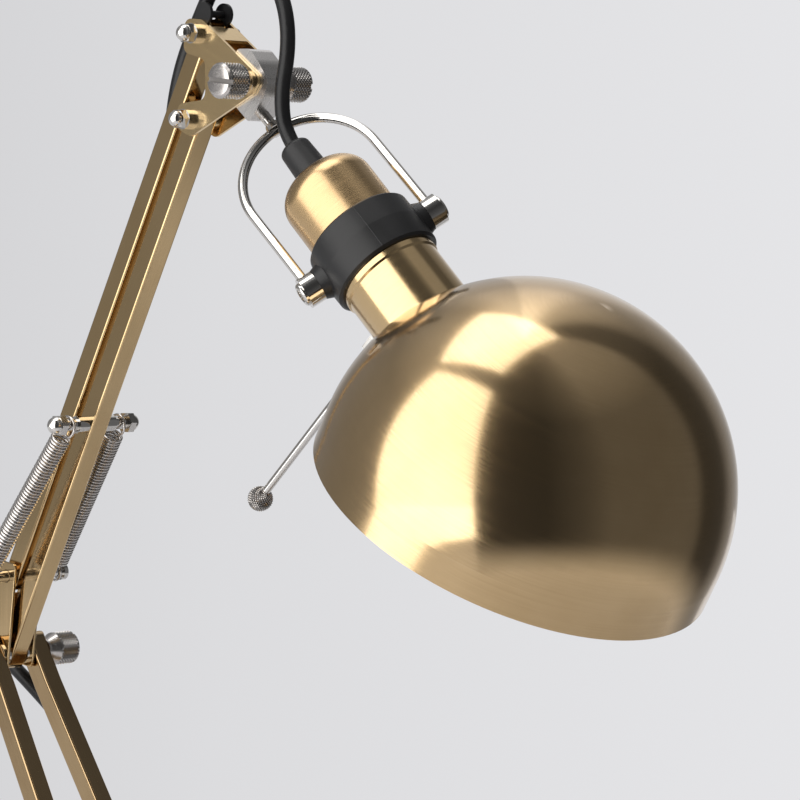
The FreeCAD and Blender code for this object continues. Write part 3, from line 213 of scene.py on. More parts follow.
# Finishes
class Bench:
    """A node tree, with short calls that add and join nodes."""

    def __init__(self, owner: bpy.types.Material | bpy.types.World) -> None:
        """Starts with an empty node tree.

        Args:
            owner: the new material or world that the nodes are for.
        """
        owner.use_nodes = True
        self.owner = owner
        self.tree = owner.node_tree
        self.tree.nodes.clear()

    def put(self, kind: str, inputs: dict | None = None, **settings: object) -> bpy.types.Node:
        """Adds a node.

        Args:
            kind: Blender's name of the node type.
            inputs: value or socket for each input, by name or number.
            settings: the node's own properties.

        Returns:
            The new node.
        """
        made = self.tree.nodes.new(kind)
        for name, value in settings.items():
            setattr(made, name, value)
        for key, value in (inputs or {}).items():
            if isinstance(value, Socket):
                self.tree.links.new(value, made.inputs[key])
            else:
                made.inputs[key].default_value = value
        return made

    def vector(self, operation: str, *parts: object) -> Socket:
        """Result of a sum on vectors: a number for a length or a dot product, or else a vector."""
        inputs = {0: parts[0], "Scale": parts[1]} if operation == "SCALE" else dict(enumerate(parts))
        result = "Value" if operation in ("LENGTH", "DOT_PRODUCT") else "Vector"
        return self.put("ShaderNodeVectorMath", inputs, operation=operation).outputs[result]

    def sum(self, operation: str, first: object, second: object) -> Socket:
        """Result of a sum on two numbers."""
        return self.put("ShaderNodeMath", {0: first, 1: second}, operation=operation).outputs[0]

    def spread(self, value: Socket, low: float, high: float, start: float = 0.3, end: float = 0.7) -> Socket:
        """Number moved from one range to another and kept inside it."""
        inputs = {"Value": value, "From Min": start, "From Max": end, "To Min": low, "To Max": high}
        return self.put("ShaderNodeMapRange", inputs).outputs["Result"]

    def ease(self, value: Socket, start: float, end: float) -> Socket:
        """Number that eases from 0 to 1 over a range."""
        inputs = {"Value": value, "From Min": start, "From Max": end}
        return self.put("ShaderNodeMapRange", inputs, interpolation_type="SMOOTHSTEP").outputs["Result"]

    def noise(self, place: Socket, scale: float, detail: float = 2.0, rough: float = 0.5) -> Socket:
        """Cloudy pattern from a place, from 0 to 1."""
        inputs = {"Vector": place, "Scale": scale, "Detail": detail, "Roughness": rough}
        return self.put("ShaderNodeTexNoise", inputs).outputs["Fac"]

    def blend(self, share: Socket, first: Colour, second: Colour) -> Socket:
        """Colour between two colours."""
        mix = self.put("ShaderNodeMix", {0: share}, data_type="RGBA")
        mix.inputs[6].default_value = (*first, 1.0)
        mix.inputs[7].default_value = (*second, 1.0)
        return mix.outputs[2]

    def stops(self, ramp: bpy.types.Node, places: list[tuple[float, Colour]]) -> None:
        """Sets the places and colours of a colour ramp."""
        stops = ramp.color_ramp.elements
        while len(stops) < len(places):
            stops.new(0.5)
        for stop, (place, colour) in zip(stops, places):
            stop.position = place
            stop.color = (*colour, 1.0)

    def bump(self, height: Socket, distance: float) -> Socket:
        """Normals of a fine relief of that height in metres."""
        inputs = {"Height": height, "Distance": distance, "Strength": 1.0}
        return self.put("ShaderNodeBump", inputs).outputs["Normal"]

    def finish(self, inputs: dict) -> bpy.types.Material:
        """Closes the material with a principled shader and these inputs."""
        shader = self.put("ShaderNodeBsdfPrincipled", inputs)
        self.put("ShaderNodeOutputMaterial", {"Surface": shader.outputs[0]})
        return self.owner

    def here(self) -> Socket:
        """The place on the piece, in metres of the lamp's frame at rest."""
        return self.put("ShaderNodeTexCoord").outputs["Object"]

    def seen_plainly(self) -> Socket:
        """1 for what is seen, mirrored or seen through glass, and 0 for what gives light."""
        path = self.put("ShaderNodeLightPath")
        seen = self.sum("MAXIMUM", path.outputs["Is Camera Ray"], path.outputs["Is Glossy Ray"])
        return self.sum("MAXIMUM", seen, path.outputs["Is Transmission Ray"])


class Grain(Enum):
    """Which way the fine strokes of a metal's finish run."""

    TURNED = "round the axis"
    DRAWN = "along the axis"


@dataclass(frozen=True)
class MetalFinish:
    """A polished, brushed or plated metal."""

    colour: Colour
    aged: Colour
    roughness: float
    uneven: float = 0.03
    grain: Grain = Grain.DRAWN
    strokes: float = 2400.0
    relief: float = 0.000002
    stretch: float = 0.2
    lacquer: float = 0.0
    drawn_out: float = 0.012
    turned_out: float = 1.3
    clouds: float = 38.0

    def build(self, name: str, origin: Vector, axis: Vector) -> bpy.types.Material:
        """Material whose strokes follow one axis.

        Args:
            name: the material's name.
            origin: a point on the axis, in metres.
            axis: the axis that the strokes run round or along.

        Returns:
            The material.
        """
        bench = Bench(bpy.data.materials.new(name))
        here = bench.here()
        offset = bench.vector("SUBTRACT", here, origin)
        height = bench.vector("DOT_PRODUCT", offset, axis)
        shaft = bench.put("ShaderNodeCombineXYZ", {0: axis.x, 1: axis.y, 2: axis.z}).outputs[0]
        along = bench.vector("SCALE", shaft, height)
        outward = bench.vector("SUBTRACT", offset, along)
        if self.grain is Grain.TURNED:
            reach = bench.sum("ADD", height, bench.vector("LENGTH", outward))
            ring = bench.vector("SCALE", bench.vector("NORMALIZE", outward), self.turned_out)
            rise = bench.vector("SCALE", shaft, bench.sum("MULTIPLY", reach, self.strokes))
            place = bench.vector("ADD", ring, rise)
            tangent = bench.vector("CROSS_PRODUCT", shaft, outward)
        else:
            across = bench.vector("SCALE", outward, self.strokes)
            place = bench.vector("ADD", across, bench.vector("SCALE", along, self.strokes * self.drawn_out))
            tangent = shaft
        strokes = bench.noise(place, 1.0, detail=3.0, rough=0.6)
        clouds = bench.noise(here, self.clouds, detail=4.0, rough=0.55)
        share = bench.sum("ADD", bench.spread(clouds, 0.0, 0.7), bench.spread(strokes, 0.0, 0.3))
        colour = self.tint(bench, bench.blend(share, self.colour, self.aged), offset, outward)
        fine = bench.spread(strokes, -self.uneven, self.uneven)
        broad = bench.spread(clouds, self.roughness - self.uneven * 0.5, self.roughness + self.uneven * 0.5)
        turned = bench.put(
            "ShaderNodeVectorTransform",
            {0: bench.vector("NORMALIZE", tangent)},
            vector_type="VECTOR",
            convert_from="OBJECT",
            convert_to="WORLD",
        )
        return bench.finish({
            "Base Color": colour,
            "Metallic": 1.0,
            "Roughness": bench.sum("ADD", fine, broad),
            "Normal": bench.bump(strokes, self.relief),
            "Anisotropic": self.stretch,
            "Tangent": turned.outputs[0],
            "Coat Weight": self.lacquer,
            "Coat Roughness": 0.06,
        })

    def tint(self, bench: Bench, colour: Socket, offset: Socket, outward: Socket) -> Socket:
        """Metal's colour by the way from the origin and from the axis, which leave plain metal as it is."""
        return colour


@dataclass(frozen=True)
class KnurledFinish(MetalFinish):
    """Plated metal with painted shade, a darker colour, at the bottom of its knurl."""

    crest: float = 0.0
    depth: float = 0.0
    # Colour of the painted shade at the bottom of the grooves.
    groove_shade: Colour = (0.15, 0.14, 0.135)
    ball: bool = False

    def tint(self, bench: Bench, colour: Socket, offset: Socket, outward: Socket) -> Socket:
        """Paints shade into the grooves, by the distance from a barrel's axis or a ball's centre."""
        reach = bench.vector("LENGTH", offset if self.ball else outward)
        share = bench.spread(reach, 0.0, 1.0, self.crest - self.depth, self.crest)
        mix = bench.put("ShaderNodeMix", {0: share, 6: (*self.groove_shade, 1.0), 7: colour}, data_type="RGBA")
        return mix.outputs[2]


@dataclass(frozen=True)
class MouldedFinish:
    """Moulded plastic, rubber or cast iron with a fine skin."""

    colour: Colour
    rubbed: Colour
    roughness: float
    pores: float
    relief: float
    uneven: float = 0.05
    gloss: float = 0.5
    clouds: float = 60.0

    def build(self, name: str) -> bpy.types.Material:
        """Material with a fine-grained skin.

        Args:
            name: the material's name.

        Returns:
            The material.
        """
        bench = Bench(bpy.data.materials.new(name))
        here = bench.here()
        pores = bench.noise(here, self.pores, detail=3.0, rough=0.6)
        clouds = bench.noise(here, self.clouds, detail=3.0)
        colour = bench.blend(bench.spread(clouds, 0.0, 1.0, start=0.35, end=0.75), self.colour, self.rubbed)
        fine = bench.spread(pores, -self.uneven, self.uneven)
        broad = bench.spread(clouds, self.roughness - self.uneven, self.roughness + self.uneven)
        return bench.finish({
            "Base Color": colour,
            "Roughness": bench.sum("ADD", fine, broad),
            "Specular IOR Level": self.gloss,
            "Normal": bench.bump(pores, self.relief),
        })


@dataclass(frozen=True)
class OpalFinish:
    """Milky glass that lets light through softly."""

    colour: Colour = (0.86, 0.85, 0.82)

    def build(self, name: str) -> bpy.types.Material:
        """Material of the bulb's glass.

        Args:
            name: the material's name.

        Returns:
            The material.
        """
        bench = Bench(bpy.data.materials.new(name))
        clouds = bench.noise(bench.here(), 90.0)
        warm = tuple(part * 0.93 for part in self.colour)
        return bench.finish({
            "Base Color": bench.blend(bench.spread(clouds, 0.0, 1.0), self.colour, warm),
            "Roughness": bench.spread(clouds, 0.08, 0.16),
            "Subsurface Weight": 0.35,
            "Subsurface Radius": (0.004, 0.003, 0.002),
            "Subsurface Scale": 1.0,
            "Normal": bench.bump(clouds, 0.00002),
        })


SATIN_BRASS = MetalFinish(
    (0.66, 0.475, 0.262), (0.54, 0.375, 0.19), 0.15, uneven=0.04, grain=Grain.TURNED, strokes=2600.0,
    relief=0.000003, stretch=0.4, lacquer=0.4,
)
CAP_BRASS = MetalFinish(
    (0.64, 0.45, 0.245), (0.53, 0.36, 0.18), 0.27, uneven=0.04, grain=Grain.TURNED, strokes=3400.0,
    relief=0.0000018, stretch=0.3, lacquer=0.1,
)
NECK_BRASS = MetalFinish(
    (0.72, 0.52, 0.28), (0.62, 0.44, 0.22), 0.15, grain=Grain.TURNED, strokes=2600.0, relief=0.0000015,
    stretch=0.3, lacquer=0.4,
)
BRIGHT_BRASS = MetalFinish((0.68, 0.495, 0.27), (0.58, 0.41, 0.21), 0.12, stretch=0.3, lacquer=0.2)
# Darker copy of the bar brass: painted shade on the legs.
SHADED_LEG_BRASS = MetalFinish((0.50, 0.36, 0.20), (0.41, 0.28, 0.145), 0.13, stretch=0.3, lacquer=0.2)
# Lighter copy of the bar brass: painted light on the head bracket.
LIT_PLATE_BRASS = MetalFinish((0.80, 0.60, 0.33), (0.68, 0.49, 0.25), 0.19, uneven=0.04, lacquer=0.2)
NICKEL = MetalFinish(
    (0.78, 0.755, 0.72), (0.66, 0.64, 0.61), 0.12, grain=Grain.TURNED, strokes=3000.0, relief=0.0000015
)
DRAWN_NICKEL = MetalFinish((0.78, 0.755, 0.72), (0.66, 0.64, 0.61), 0.1, uneven=0.025, relief=0.0000012)
SATIN_NICKEL = MetalFinish(
    (0.76, 0.735, 0.71), (0.66, 0.64, 0.62), 0.3, uneven=0.04, relief=0.0000009, stretch=0.1
)
KNOB_NICKEL = MetalFinish(
    (0.68, 0.645, 0.62), (0.50, 0.47, 0.45), 0.24, uneven=0.06, grain=Grain.TURNED, strokes=3000.0,
    relief=0.000003,
)
# Knurled nickel with painted shade at the bottom of its grooves, for the knob barrels and the ball.
BARREL_NICKEL = KnurledFinish(
    (0.78, 0.75, 0.72), (0.66, 0.63, 0.60), 0.24, uneven=0.06, grain=Grain.TURNED, strokes=3000.0,
    relief=0.000003, stretch=0.1, crest=0.00545, depth=0.0003,
)
BALL_NICKEL = KnurledFinish(
    (0.70, 0.67, 0.64), (0.58, 0.55, 0.52), 0.24, uneven=0.06, grain=Grain.TURNED, strokes=3000.0,
    relief=0.000003, stretch=0.1, crest=0.0039, depth=0.00021, ball=True,
)
# Rough saw-cut floor of the knob's slot, its colour darkened as painted shade in the slot.
SHADED_SLOT_NICKEL = MetalFinish(
    (0.34, 0.32, 0.31), (0.22, 0.21, 0.20), 0.5, uneven=0.08, strokes=3000.0, relief=0.000004, stretch=0.0
)
SPRING_STEEL = MetalFinish((0.74, 0.71, 0.68), (0.56, 0.53, 0.51), 0.2, uneven=0.05, strokes=3000.0)
PLATED_BRASS = MetalFinish(
    (0.75, 0.70, 0.58), (0.62, 0.56, 0.44), 0.2, uneven=0.05, grain=Grain.TURNED, strokes=2000.0,
    relief=0.000003,
)
BLACK_PLASTIC = MouldedFinish((0.010, 0.010, 0.0105), (0.016, 0.016, 0.017), 0.4, 2600.0, 0.000012, gloss=0.4)
SHEATH = MouldedFinish((0.008, 0.008, 0.0085), (0.014, 0.014, 0.015), 0.36, 1500.0, 0.00001, gloss=0.35)
FELT_PAD = MouldedFinish((0.03, 0.03, 0.032), (0.05, 0.05, 0.052), 0.85, 5000.0, 0.0001, uneven=0.08, gloss=0.2)
CAST_IRON = MouldedFinish((0.05, 0.048, 0.046), (0.09, 0.085, 0.08), 0.6, 900.0, 0.0002, uneven=0.12)


# Studio
@dataclass(frozen=True)
class SoftBox:
    """Rectangular lamp with an even face, which the shade sees at these angles and this distance.

    The width lies along the floor, and a glow of 1 is white.
    """

    name: str
    right: float
    up: float
    reach: float
    width: float
    height: float
    glow: float


@dataclass
class Studio:
    """Camera, floor, two soft boxes and the dark tent that the polished metal mirrors."""

    camera_place: tuple[float, float, float] = (732.855, -689.346, 331.170)
    camera_right: tuple[float, float, float] = (0.7243, 0.6895, 0.0)
    camera_ahead: tuple[float, float, float] = (-0.6889, 0.7235, -0.0408)
    lens: float = 148.5
    sensor: float = 36.0
    pale: Colour = (0.735, 0.735, 0.752)
    pale_wash: Outline = ((-0.125, 0.905), (-0.055, 0.975), (0.12, 1.06))
    wash_reach: float = 0.2
    floor_reach: float = 30.0
    near_floor: float = 0.3
    far_floor: float = 0.62
    world_strength: float = 0.36
    tent_radius: float = 2.6
    apron_start: float = 0.36
    apron_height: float = 0.004
    apron_turn: float = 62.0
    tent_tones: Outline = (
        (-170, 0.50), (-156, 0.24), (-112, 0.26), (-86, 0.30), (-30, 0.10), (-18, 0.045), (10, 0.04), (30, 0.085),
        (45, 0.14), (102, 0.145), (109, 0.05), (130, 0.06), (140, 0.20), (157, 0.38), (168, 0.72),
    )
    tent_floor: float = 0.66
    left_box: SoftBox = SoftBox("left_box", right=-56.0, up=0.0, reach=0.6, width=0.65, height=1.18, glow=2.35)
    left_box_height: float = 0.605
    top_box: SoftBox = SoftBox("top_box", right=-98.0, up=77.5, reach=1.35, width=0.84, height=0.84, glow=2.3)

    def build(self) -> None:
        """Makes all of the studio."""
        self.camera()
        self.world()
        self.floor()
        self.lamps()
        self.tent()

    def ahead(self) -> Vector:
        """Direction of the photograph's view."""
        return Vector(self.camera_ahead).normalized()

    def right(self) -> Vector:
        """Direction to the right in the photograph."""
        ahead = self.ahead()
        right = Vector(self.camera_right)
        return (right - ahead * right.dot(ahead)).normalized()

    def back(self) -> Vector:
        """Level direction from the lamp towards the camera."""
        back = -self.ahead()
        back.z = 0.0
        return back.normalized()

    def camera(self) -> None:
        """Places the camera as the photograph's."""
        data = bpy.data.cameras.new("camera")
        data.lens = self.lens
        data.sensor_width = self.sensor
        data.clip_start = 0.01
        data.clip_end = 200.0
        camera = stand("camera", data)
        camera.matrix_world = axes(mm(*self.camera_place), self.right(), -self.ahead())
        bpy.context.scene.camera = camera

    def world(self) -> None:
        """Pale world for what is seen or mirrored, and a soft one for the light on plain surfaces."""
        bench = Bench(bpy.data.worlds.new("studio"))
        colour = (0.97, 0.97, 1.0, 1.0)
        soft = bench.put("ShaderNodeBackground", {"Color": colour, "Strength": self.world_strength})
        ray = bench.put("ShaderNodeTexCoord").outputs["Generated"]
        pale = bench.put("ShaderNodeBackground", {"Color": self.wash(bench, ray)})
        mix = bench.put("ShaderNodeMixShader", {0: bench.seen_plainly(), 1: soft.outputs[0], 2: pale.outputs[0]})
        bench.put("ShaderNodeOutputWorld", {"Surface": mix.outputs[0]})
        bpy.context.scene.world = bench.owner
        bpy.context.scene.view_settings.view_transform = "Standard"

    def wash(self, bench: Bench, ray: Socket) -> Socket:
        """Pale background colour, a little deeper towards the photograph's left side.

        Args:
            bench: the node tree that it is for.
            ray: level direction outward from the photograph's place.

        Returns:
            The colour.
        """
        side = bench.vector("DOT_PRODUCT", ray, self.right())
        share = bench.spread(side, 0.0, 1.0, -self.wash_reach, self.wash_reach)
        ramp = bench.put("ShaderNodeValToRGB", {0: share})
        bench.stops(ramp, [
            (place / (2 * self.wash_reach) + 0.5, tuple(part * tone for part in self.pale))
            for place, tone in self.pale_wash
        ])
        return ramp.outputs[0]

    def floor(self) -> None:
        """Pale floor that takes the lamp's shadow near it and fades into the background."""
        floor = added(
            bpy.ops.mesh.primitive_circle_add, "floor", vertices=96, radius=self.floor_reach, fill_type="NGON"
        )
        settle(floor)
        bench = Bench(bpy.data.materials.new("pale_floor"))
        here = bench.here()
        reach = bench.vector("LENGTH", here)
        share = bench.ease(reach, self.near_floor, self.far_floor)
        speck = bench.noise(here, 240.0)
        tone = bench.blend(bench.spread(speck, 0.0, 1.0), self.pale, tuple(part * 0.985 for part in self.pale))
        matt = bench.put("ShaderNodeBsdfDiffuse", {"Color": tone})
        ray = bench.vector("NORMALIZE", bench.vector("SUBTRACT", here, mm(*self.camera_place)))
        glow = bench.put("ShaderNodeEmission", {"Color": self.wash(bench, ray)})
        mix = bench.put(
            "ShaderNodeMixShader",
            {0: bench.sum("MULTIPLY", share, bench.seen_plainly()), 1: matt.outputs[0], 2: glow.outputs[0]},
        )
        bench.put("ShaderNodeOutputMaterial", {"Surface": mix.outputs[0]})
        paint(floor, bench.owner)

    def seen_from(self, right: float, up: float, reach: float) -> Vector:
        """Point that the shade sees at angles to the right of the camera and above the horizon.

        Args:
            right: degrees to the camera's right, seen from the shade towards the camera.
            up: degrees above the horizon.
            reach: distance from the shade in metres.

        Returns:
            The point.
        """
        turn = math.radians(right)
        level = self.right() * math.sin(turn) + self.back() * math.cos(turn)
        aim = level * math.cos(math.radians(up)) + Z_AXIS * math.sin(math.radians(up))
        return SHADE_CENTRE + aim * reach

    def soft_box(self, box: SoftBox, place: Vector, facing: Vector) -> None:
        """Sets up a soft box.

        Args:
            box: the box.
            place: the middle of its face.
            facing: the direction that it shines in.
        """
        data = bpy.data.lights.new(box.name, "AREA")
        data.shape = "RECTANGLE"
        data.size = box.width
        data.size_y = box.height
        data.energy = box.glow * math.pi * box.width * box.height
        data.color = (1.0, 0.985, 0.96)
        lamp = stand(box.name, data)
        lamp.location = place
        lamp.rotation_mode = "QUATERNION"
        lamp.rotation_quaternion = facing.to_track_quat("-Z", "Y")
        lamp.visible_camera = False

    def lamps(self) -> None:
        """A tall box close by at the left and a flat one overhead."""
        left, above = (self.seen_from(box.right, box.up, box.reach) for box in (self.left_box, self.top_box))
        left.z = self.left_box_height
        facing = SHADE_CENTRE - left
        facing.z = 0.0
        self.soft_box(self.left_box, left, facing)
        self.soft_box(self.top_box, above, Vector((0, 0, -1)))

    def tent(self) -> None:
        """Dark tent round the lamp with an apron on the camera's side of the floor, which only mirrors see."""
        foot = Vector((SHADE_CENTRE.x, SHADE_CENTRE.y, 0.0))
        tent = added(
            bpy.ops.mesh.primitive_uv_sphere_add, "tent", segments=64, ring_count=32, radius=self.tent_radius,
            location=foot,
        )
        cloth = self.tent_cloth()
        self.halve(tent, foot, Z_AXIS, cloth)
        apron = added(
            bpy.ops.mesh.primitive_circle_add, "apron", vertices=64, radius=self.tent_radius, fill_type="NGON",
            location=foot + Z_AXIS * self.apron_height,
        )
        bpy.ops.object.mode_set(mode="EDIT")
        bpy.ops.mesh.select_all(action="SELECT")
        bpy.ops.mesh.inset(thickness=self.tent_radius - self.apron_start)
        bpy.ops.mesh.delete(type="FACE")
        bpy.ops.object.mode_set(mode="OBJECT")
        self.halve(apron, foot, self.seen_from(self.apron_turn, 0, 1.0) - SHADE_CENTRE, cloth)

    def tent_cloth(self) -> bpy.types.Material:
        """Cloth whose tone runs from dark behind the camera to mid grey at the sides and pale behind the lamp.

        Returns:
            The cloth's material.
        """
        bench = Bench(bpy.data.materials.new("tent_cloth"))
        ray = bench.vector("NORMALIZE", bench.vector("SUBTRACT", bench.here(), SHADE_CENTRE))
        aside = bench.vector("DOT_PRODUCT", ray, self.right())
        towards = bench.vector("DOT_PRODUCT", ray, self.back())
        turn = bench.sum("DIVIDE", bench.sum("ARCTAN2", aside, towards), 2 * math.pi)
        ramp = bench.put("ShaderNodeValToRGB", {0: bench.sum("ADD", turn, 0.5)})
        bench.stops(ramp, [(angle / 360 + 0.5, (tone, tone, tone)) for angle, tone in self.tent_tones])
        height = bench.put("ShaderNodeSeparateXYZ", {0: ray}).outputs[2]
        rise = bench.spread(height, 1.0, 2.4, start=0.6, end=0.95)
        wall = bench.sum("MULTIPLY", ramp.outputs[0], rise)
        low = bench.ease(height, -0.36, -0.64)
        speck = bench.spread(bench.noise(bench.here(), 3.0), 0.97, 1.03)
        inputs = {0: low, 2: bench.sum("MULTIPLY", wall, speck), 3: self.tent_floor}
        level = bench.put("ShaderNodeMix", inputs, data_type="FLOAT")
        glow = bench.put("ShaderNodeEmission", {"Color": (0.985, 0.985, 1.0, 1.0), "Strength": level.outputs[0]})
        bench.put("ShaderNodeOutputMaterial", {"Surface": glow.outputs[0]})
        return bench.owner

    def halve(self, obj: bpy.types.Object, foot: Vector, normal: Vector, cloth: bpy.types.Material) -> None:
        """Keeps the half of a stage piece before a plane, and leaves it to mirrors alone.

        No camera sees the piece, and no light falls on it or stops at it.

        Args:
            obj: the piece, just added.
            foot: a point on the plane.
            normal: the plane's direction, towards the half that stays.
            cloth: the piece's material.
        """
        bpy.ops.object.mode_set(mode="EDIT")
        bpy.ops.mesh.select_all(action="SELECT")
        bpy.ops.mesh.bisect(plane_co=foot, plane_no=normal, clear_inner=True)
        bpy.ops.object.mode_set(mode="OBJECT")
        settle(obj)
        paint(obj, cloth)
        obj.visible_camera = False
        obj.visible_diffuse = False
        obj.visible_shadow = False
        obj.visible_transmission = False


# Cords
def nurbs(name: str, route: list[Vector], radius: float, steps: int = 8) -> bpy.types.Object:
    """Round cord along one smooth spline.

    Args:
        name: the object's name.
        route: the spline's control points in metres.
        radius: half the cord's diameter, or 0 for a bare line.
        steps: points for each stretch of the spline.

    Returns:
        The curve object, linked to the scene.
    """
    curve = bpy.data.curves.new(name, "CURVE")
    curve.dimensions = "3D"
    spline = curve.splines.new("NURBS")
    spline.points.add(len(route) - 1)
    for point, place in zip(spline.points, route):
        point.co = (*place, 1.0)
    spline.order_u = 3
    spline.use_endpoint_u = True
    spline.resolution_u = steps
    curve.resolution_u = steps
    curve.bevel_depth = radius
    curve.bevel_resolution = 5
    curve.use_fill_caps = radius > 0
    return stand(name, curve)


def as_mesh(line: bpy.types.Object) -> bpy.types.Mesh:
    """Mesh that Blender makes of a curve object, which is removed."""
    graph = bpy.context.evaluated_depsgraph_get()
    mesh = bpy.data.meshes.new_from_object(line.evaluated_get(graph))
    bpy.data.curves.remove(line.data)
    return mesh


def centre_line(route: list[Vector], steps: int = 10) -> list[Vector]:
    """Points along the NURBS spline of a route, as Blender gives them for a curve with no bevel."""
    mesh = as_mesh(nurbs("line", route, 0.0, steps))
    points = [vertex.co.copy() for vertex in mesh.vertices]
    bpy.data.meshes.remove(mesh)
    return points


def length_of(points: list[Vector]) -> float:
    """Length of a line through points."""
    return sum((after - before).length for before, after in zip(points, points[1:]))


def nearest(points: list[Vector], place: Vector) -> int:
    """Number of the point of a line that lies nearest to a place."""
    return min(range(len(points)), key=lambda i: (points[i] - place).length)


@dataclass(frozen=True)
class RoundCord:
    """Rings of vertices round a whole route, from which pieces of the cord are cut so that they meet exactly."""

    points: list[Vector]
    radius: float
    sides: int = 24

    def rings(self) -> list[list[Vector]]:
        """Ring round each point, square to the route there and never twisted.

        Returns:
            The rings' points.
        """
        ahead = (self.points[1] - self.points[0]).normalized()
        side = ahead.orthogonal().normalized()
        rings = []
        for i, point in enumerate(self.points):
            before = self.points[max(i - 1, 0)]
            after = self.points[min(i + 1, len(self.points) - 1)]
            turned = (after - before).normalized()
            side.rotate(ahead.rotation_difference(turned))
            ahead = turned
            up = ahead.cross(side).normalized()
            angles = [2 * math.pi * step / self.sides for step in range(self.sides)]
            rings.append([point + (side * math.cos(a) + up * math.sin(a)) * self.radius for a in angles])
        return rings

    def piece(self, name: str, first: int, last: int) -> bpy.types.Object:
        """Closed mesh tube along a stretch of the route.

        Args:
            name: the object's name.
            first: number of the stretch's first point.
            last: number of its last point.

        Returns:
            The mesh object, linked to the scene.
        """
        shape = bmesh.new()
        rings = [[shape.verts.new(place) for place in ring] for ring in self.rings()[first:last + 1]]
        for low, high in zip(rings, rings[1:]):
            for step in range(self.sides):
                after = (step + 1) % self.sides
                shape.faces.new((low[step], low[after], high[after], high[step])).smooth = True
        for cap in (rings[0][::-1], rings[-1]):
            face = shape.faces.new(cap)
            for edge in face.edges:
                edge.smooth = False
        return shaped(name, shape)


def leg_point(forward: float, inward: float, height: float) -> Vector:
    """Point of the right leg's tube.

    Args:
        forward: millimetres in front of its centre line.
        inward: millimetres towards the lamp's middle.
        height: millimetres up the leg from the base pivot.

    Returns:
        The point in metres.
    """
    share = min(max((height - LEG_STRAIGHT) / (LEG_LENGTH - 2 * LEG_STRAIGHT), 0.0), 1.0)
    aside = LEG_FOOT_Y - (LEG_FOOT_Y - LEG_TOP_Y) * share - inward
    return BASE_PIVOT + (LEG_FRONT * forward + Y_AXIS * aside + LEG_DIR * height) * MM


@dataclass
class FrameCord:
    """The cord from the strain sleeve over the frame, through bar and leg, to the swivel stud."""

    diameter: float = CORD_D

    def route(self) -> list[Vector]:
        """Control points of the whole cord, from the sleeve to the stud."""
        over = [
            mm(12.8, -4.1, -4.28), mm(15.4, -3.2, 9.72), mm(13.0, -2.2, 22.22), mm(5.7, -1.2, 32.72),
            mm(-6.8, -0.4, 37.22), mm(-18.3, 0, 33.22), mm(-25.1, 0, 23.22),
        ]
        behind = [mm(-9.0, 2.0, 34.22), mm(-18.0, 4.0, 16.72), mm(-14.5, 6.5, -1.28)]
        return [
            HUB - NECK_DIR * 37 * MM,
            HUB - NECK_DIR * 47 * MM,
            *[CLEVIS + offset for offset in over],
            BACK_PIN - (BAR_SIDE * 6.9 + BAR_DIR * 16) * MM,
            BACK_PIN - BAR_DIR * 38 * MM,
            BACK_PIN - BAR_DIR * 54 * MM,
            LOWER_ROD + BAR_DIR * 46 * MM,
            LOWER_ROD + BAR_DIR * 31 * MM,
            LOWER_ROD + (BAR_DIR * 17 - BAR_SIDE * 7.5) * MM,
            *[ELBOW + offset for offset in behind],
            leg_point(-6.8, 0.3, 180),
            leg_point(0, 0, 164),
            leg_point(0, 0, 150),
            leg_point(0, 0, 66),
            leg_point(0, 0, 51),
            leg_point(0, 5.5, 36),
            mm(-9.5, 4.5, 58.0),
            mm(-2.2, 0.9, 46.0),
            mm(0, 0, 33.5),
            mm(0, 0, 28.0),
        ]

    def build(self, material: bpy.types.Material) -> None:
        """Cuts the cord where it passes from joint to joint; a piece within one body follows that body, and a piece
        between two bodies stays where it is.

        Args:
            material: the sheath's material.
        """
        points = centre_line(self.route())
        whole = RoundCord(points, self.diameter * MM / 2)
        inner = nearest(points, BACK_PIN - BAR_DIR * 36 * MM)
        low = nearest(points, LOWER_ROD + BAR_DIR * 40 * MM)
        elbow = nearest(points, ELBOW + mm(-14.5, 3.0, 26.2))
        leg = nearest(points, leg_point(0, 0, 158))
        foot = nearest(points, leg_point(0, 0, 60))
        marks = [*self.split(points, inner, 4), low, elbow, leg, foot, len(points) - 1]
        LOG.info("cuts of the frame cord at %s", marks)
        spans = [
            ("cord_at_sleeve", "collar", "bail", "head_cord"),
            ("cord_by_stem", "bail", "fork", "head_cord"),
            ("cord_loop", "fork", "head_plate", "head_cord"),
            ("cord_over_frame", "head_plate", "back_arm", "head_cord"),
            ("cord_in_bar", "back_arm", "back_arm", "arm_cord"),
            ("cord_behind_elbow", "back_arm", "elbow", "elbow_cord"),
            ("cord_into_leg", "elbow", "lower_arm", "elbow_cord"),
            ("cord_in_leg", "lower_arm", "lower_arm", "leg_cord"),
            ("cord_through_yoke", "lower_arm", "turret", "yoke_cord"),
        ]
        LOG.info("frame cord: %.1f mm in %d pieces, in the bar at %d", length_of(points) / MM, len(spans), inner)
        for i, (name, first, second, node) in enumerate(spans):
            piece = whole.piece(name, marks[i], marks[i + 1])
            hand_in(piece, material, "cord_sheath", node)
            if first == second:
                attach(piece, first)
            else:
                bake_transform(piece)

    def split(self, points: list[Vector], last: int, count: int) -> list[int]:
        """Marks that cut the start of a line into pieces of about the same length.

        Args:
            points: the line.
            last: number of the point where the last piece ends.
            count: how many pieces.

        Returns:
            The numbers of the points at the cuts, both ends included.
        """
        whole = length_of(points[:last + 1])
        marks = [0]
        walked = 0.0
        for i in range(1, last):
            walked += (points[i] - points[i - 1]).length
            if walked >= whole * len(marks) / count and len(marks) < count:
                marks.append(i)
        return [*marks, last]


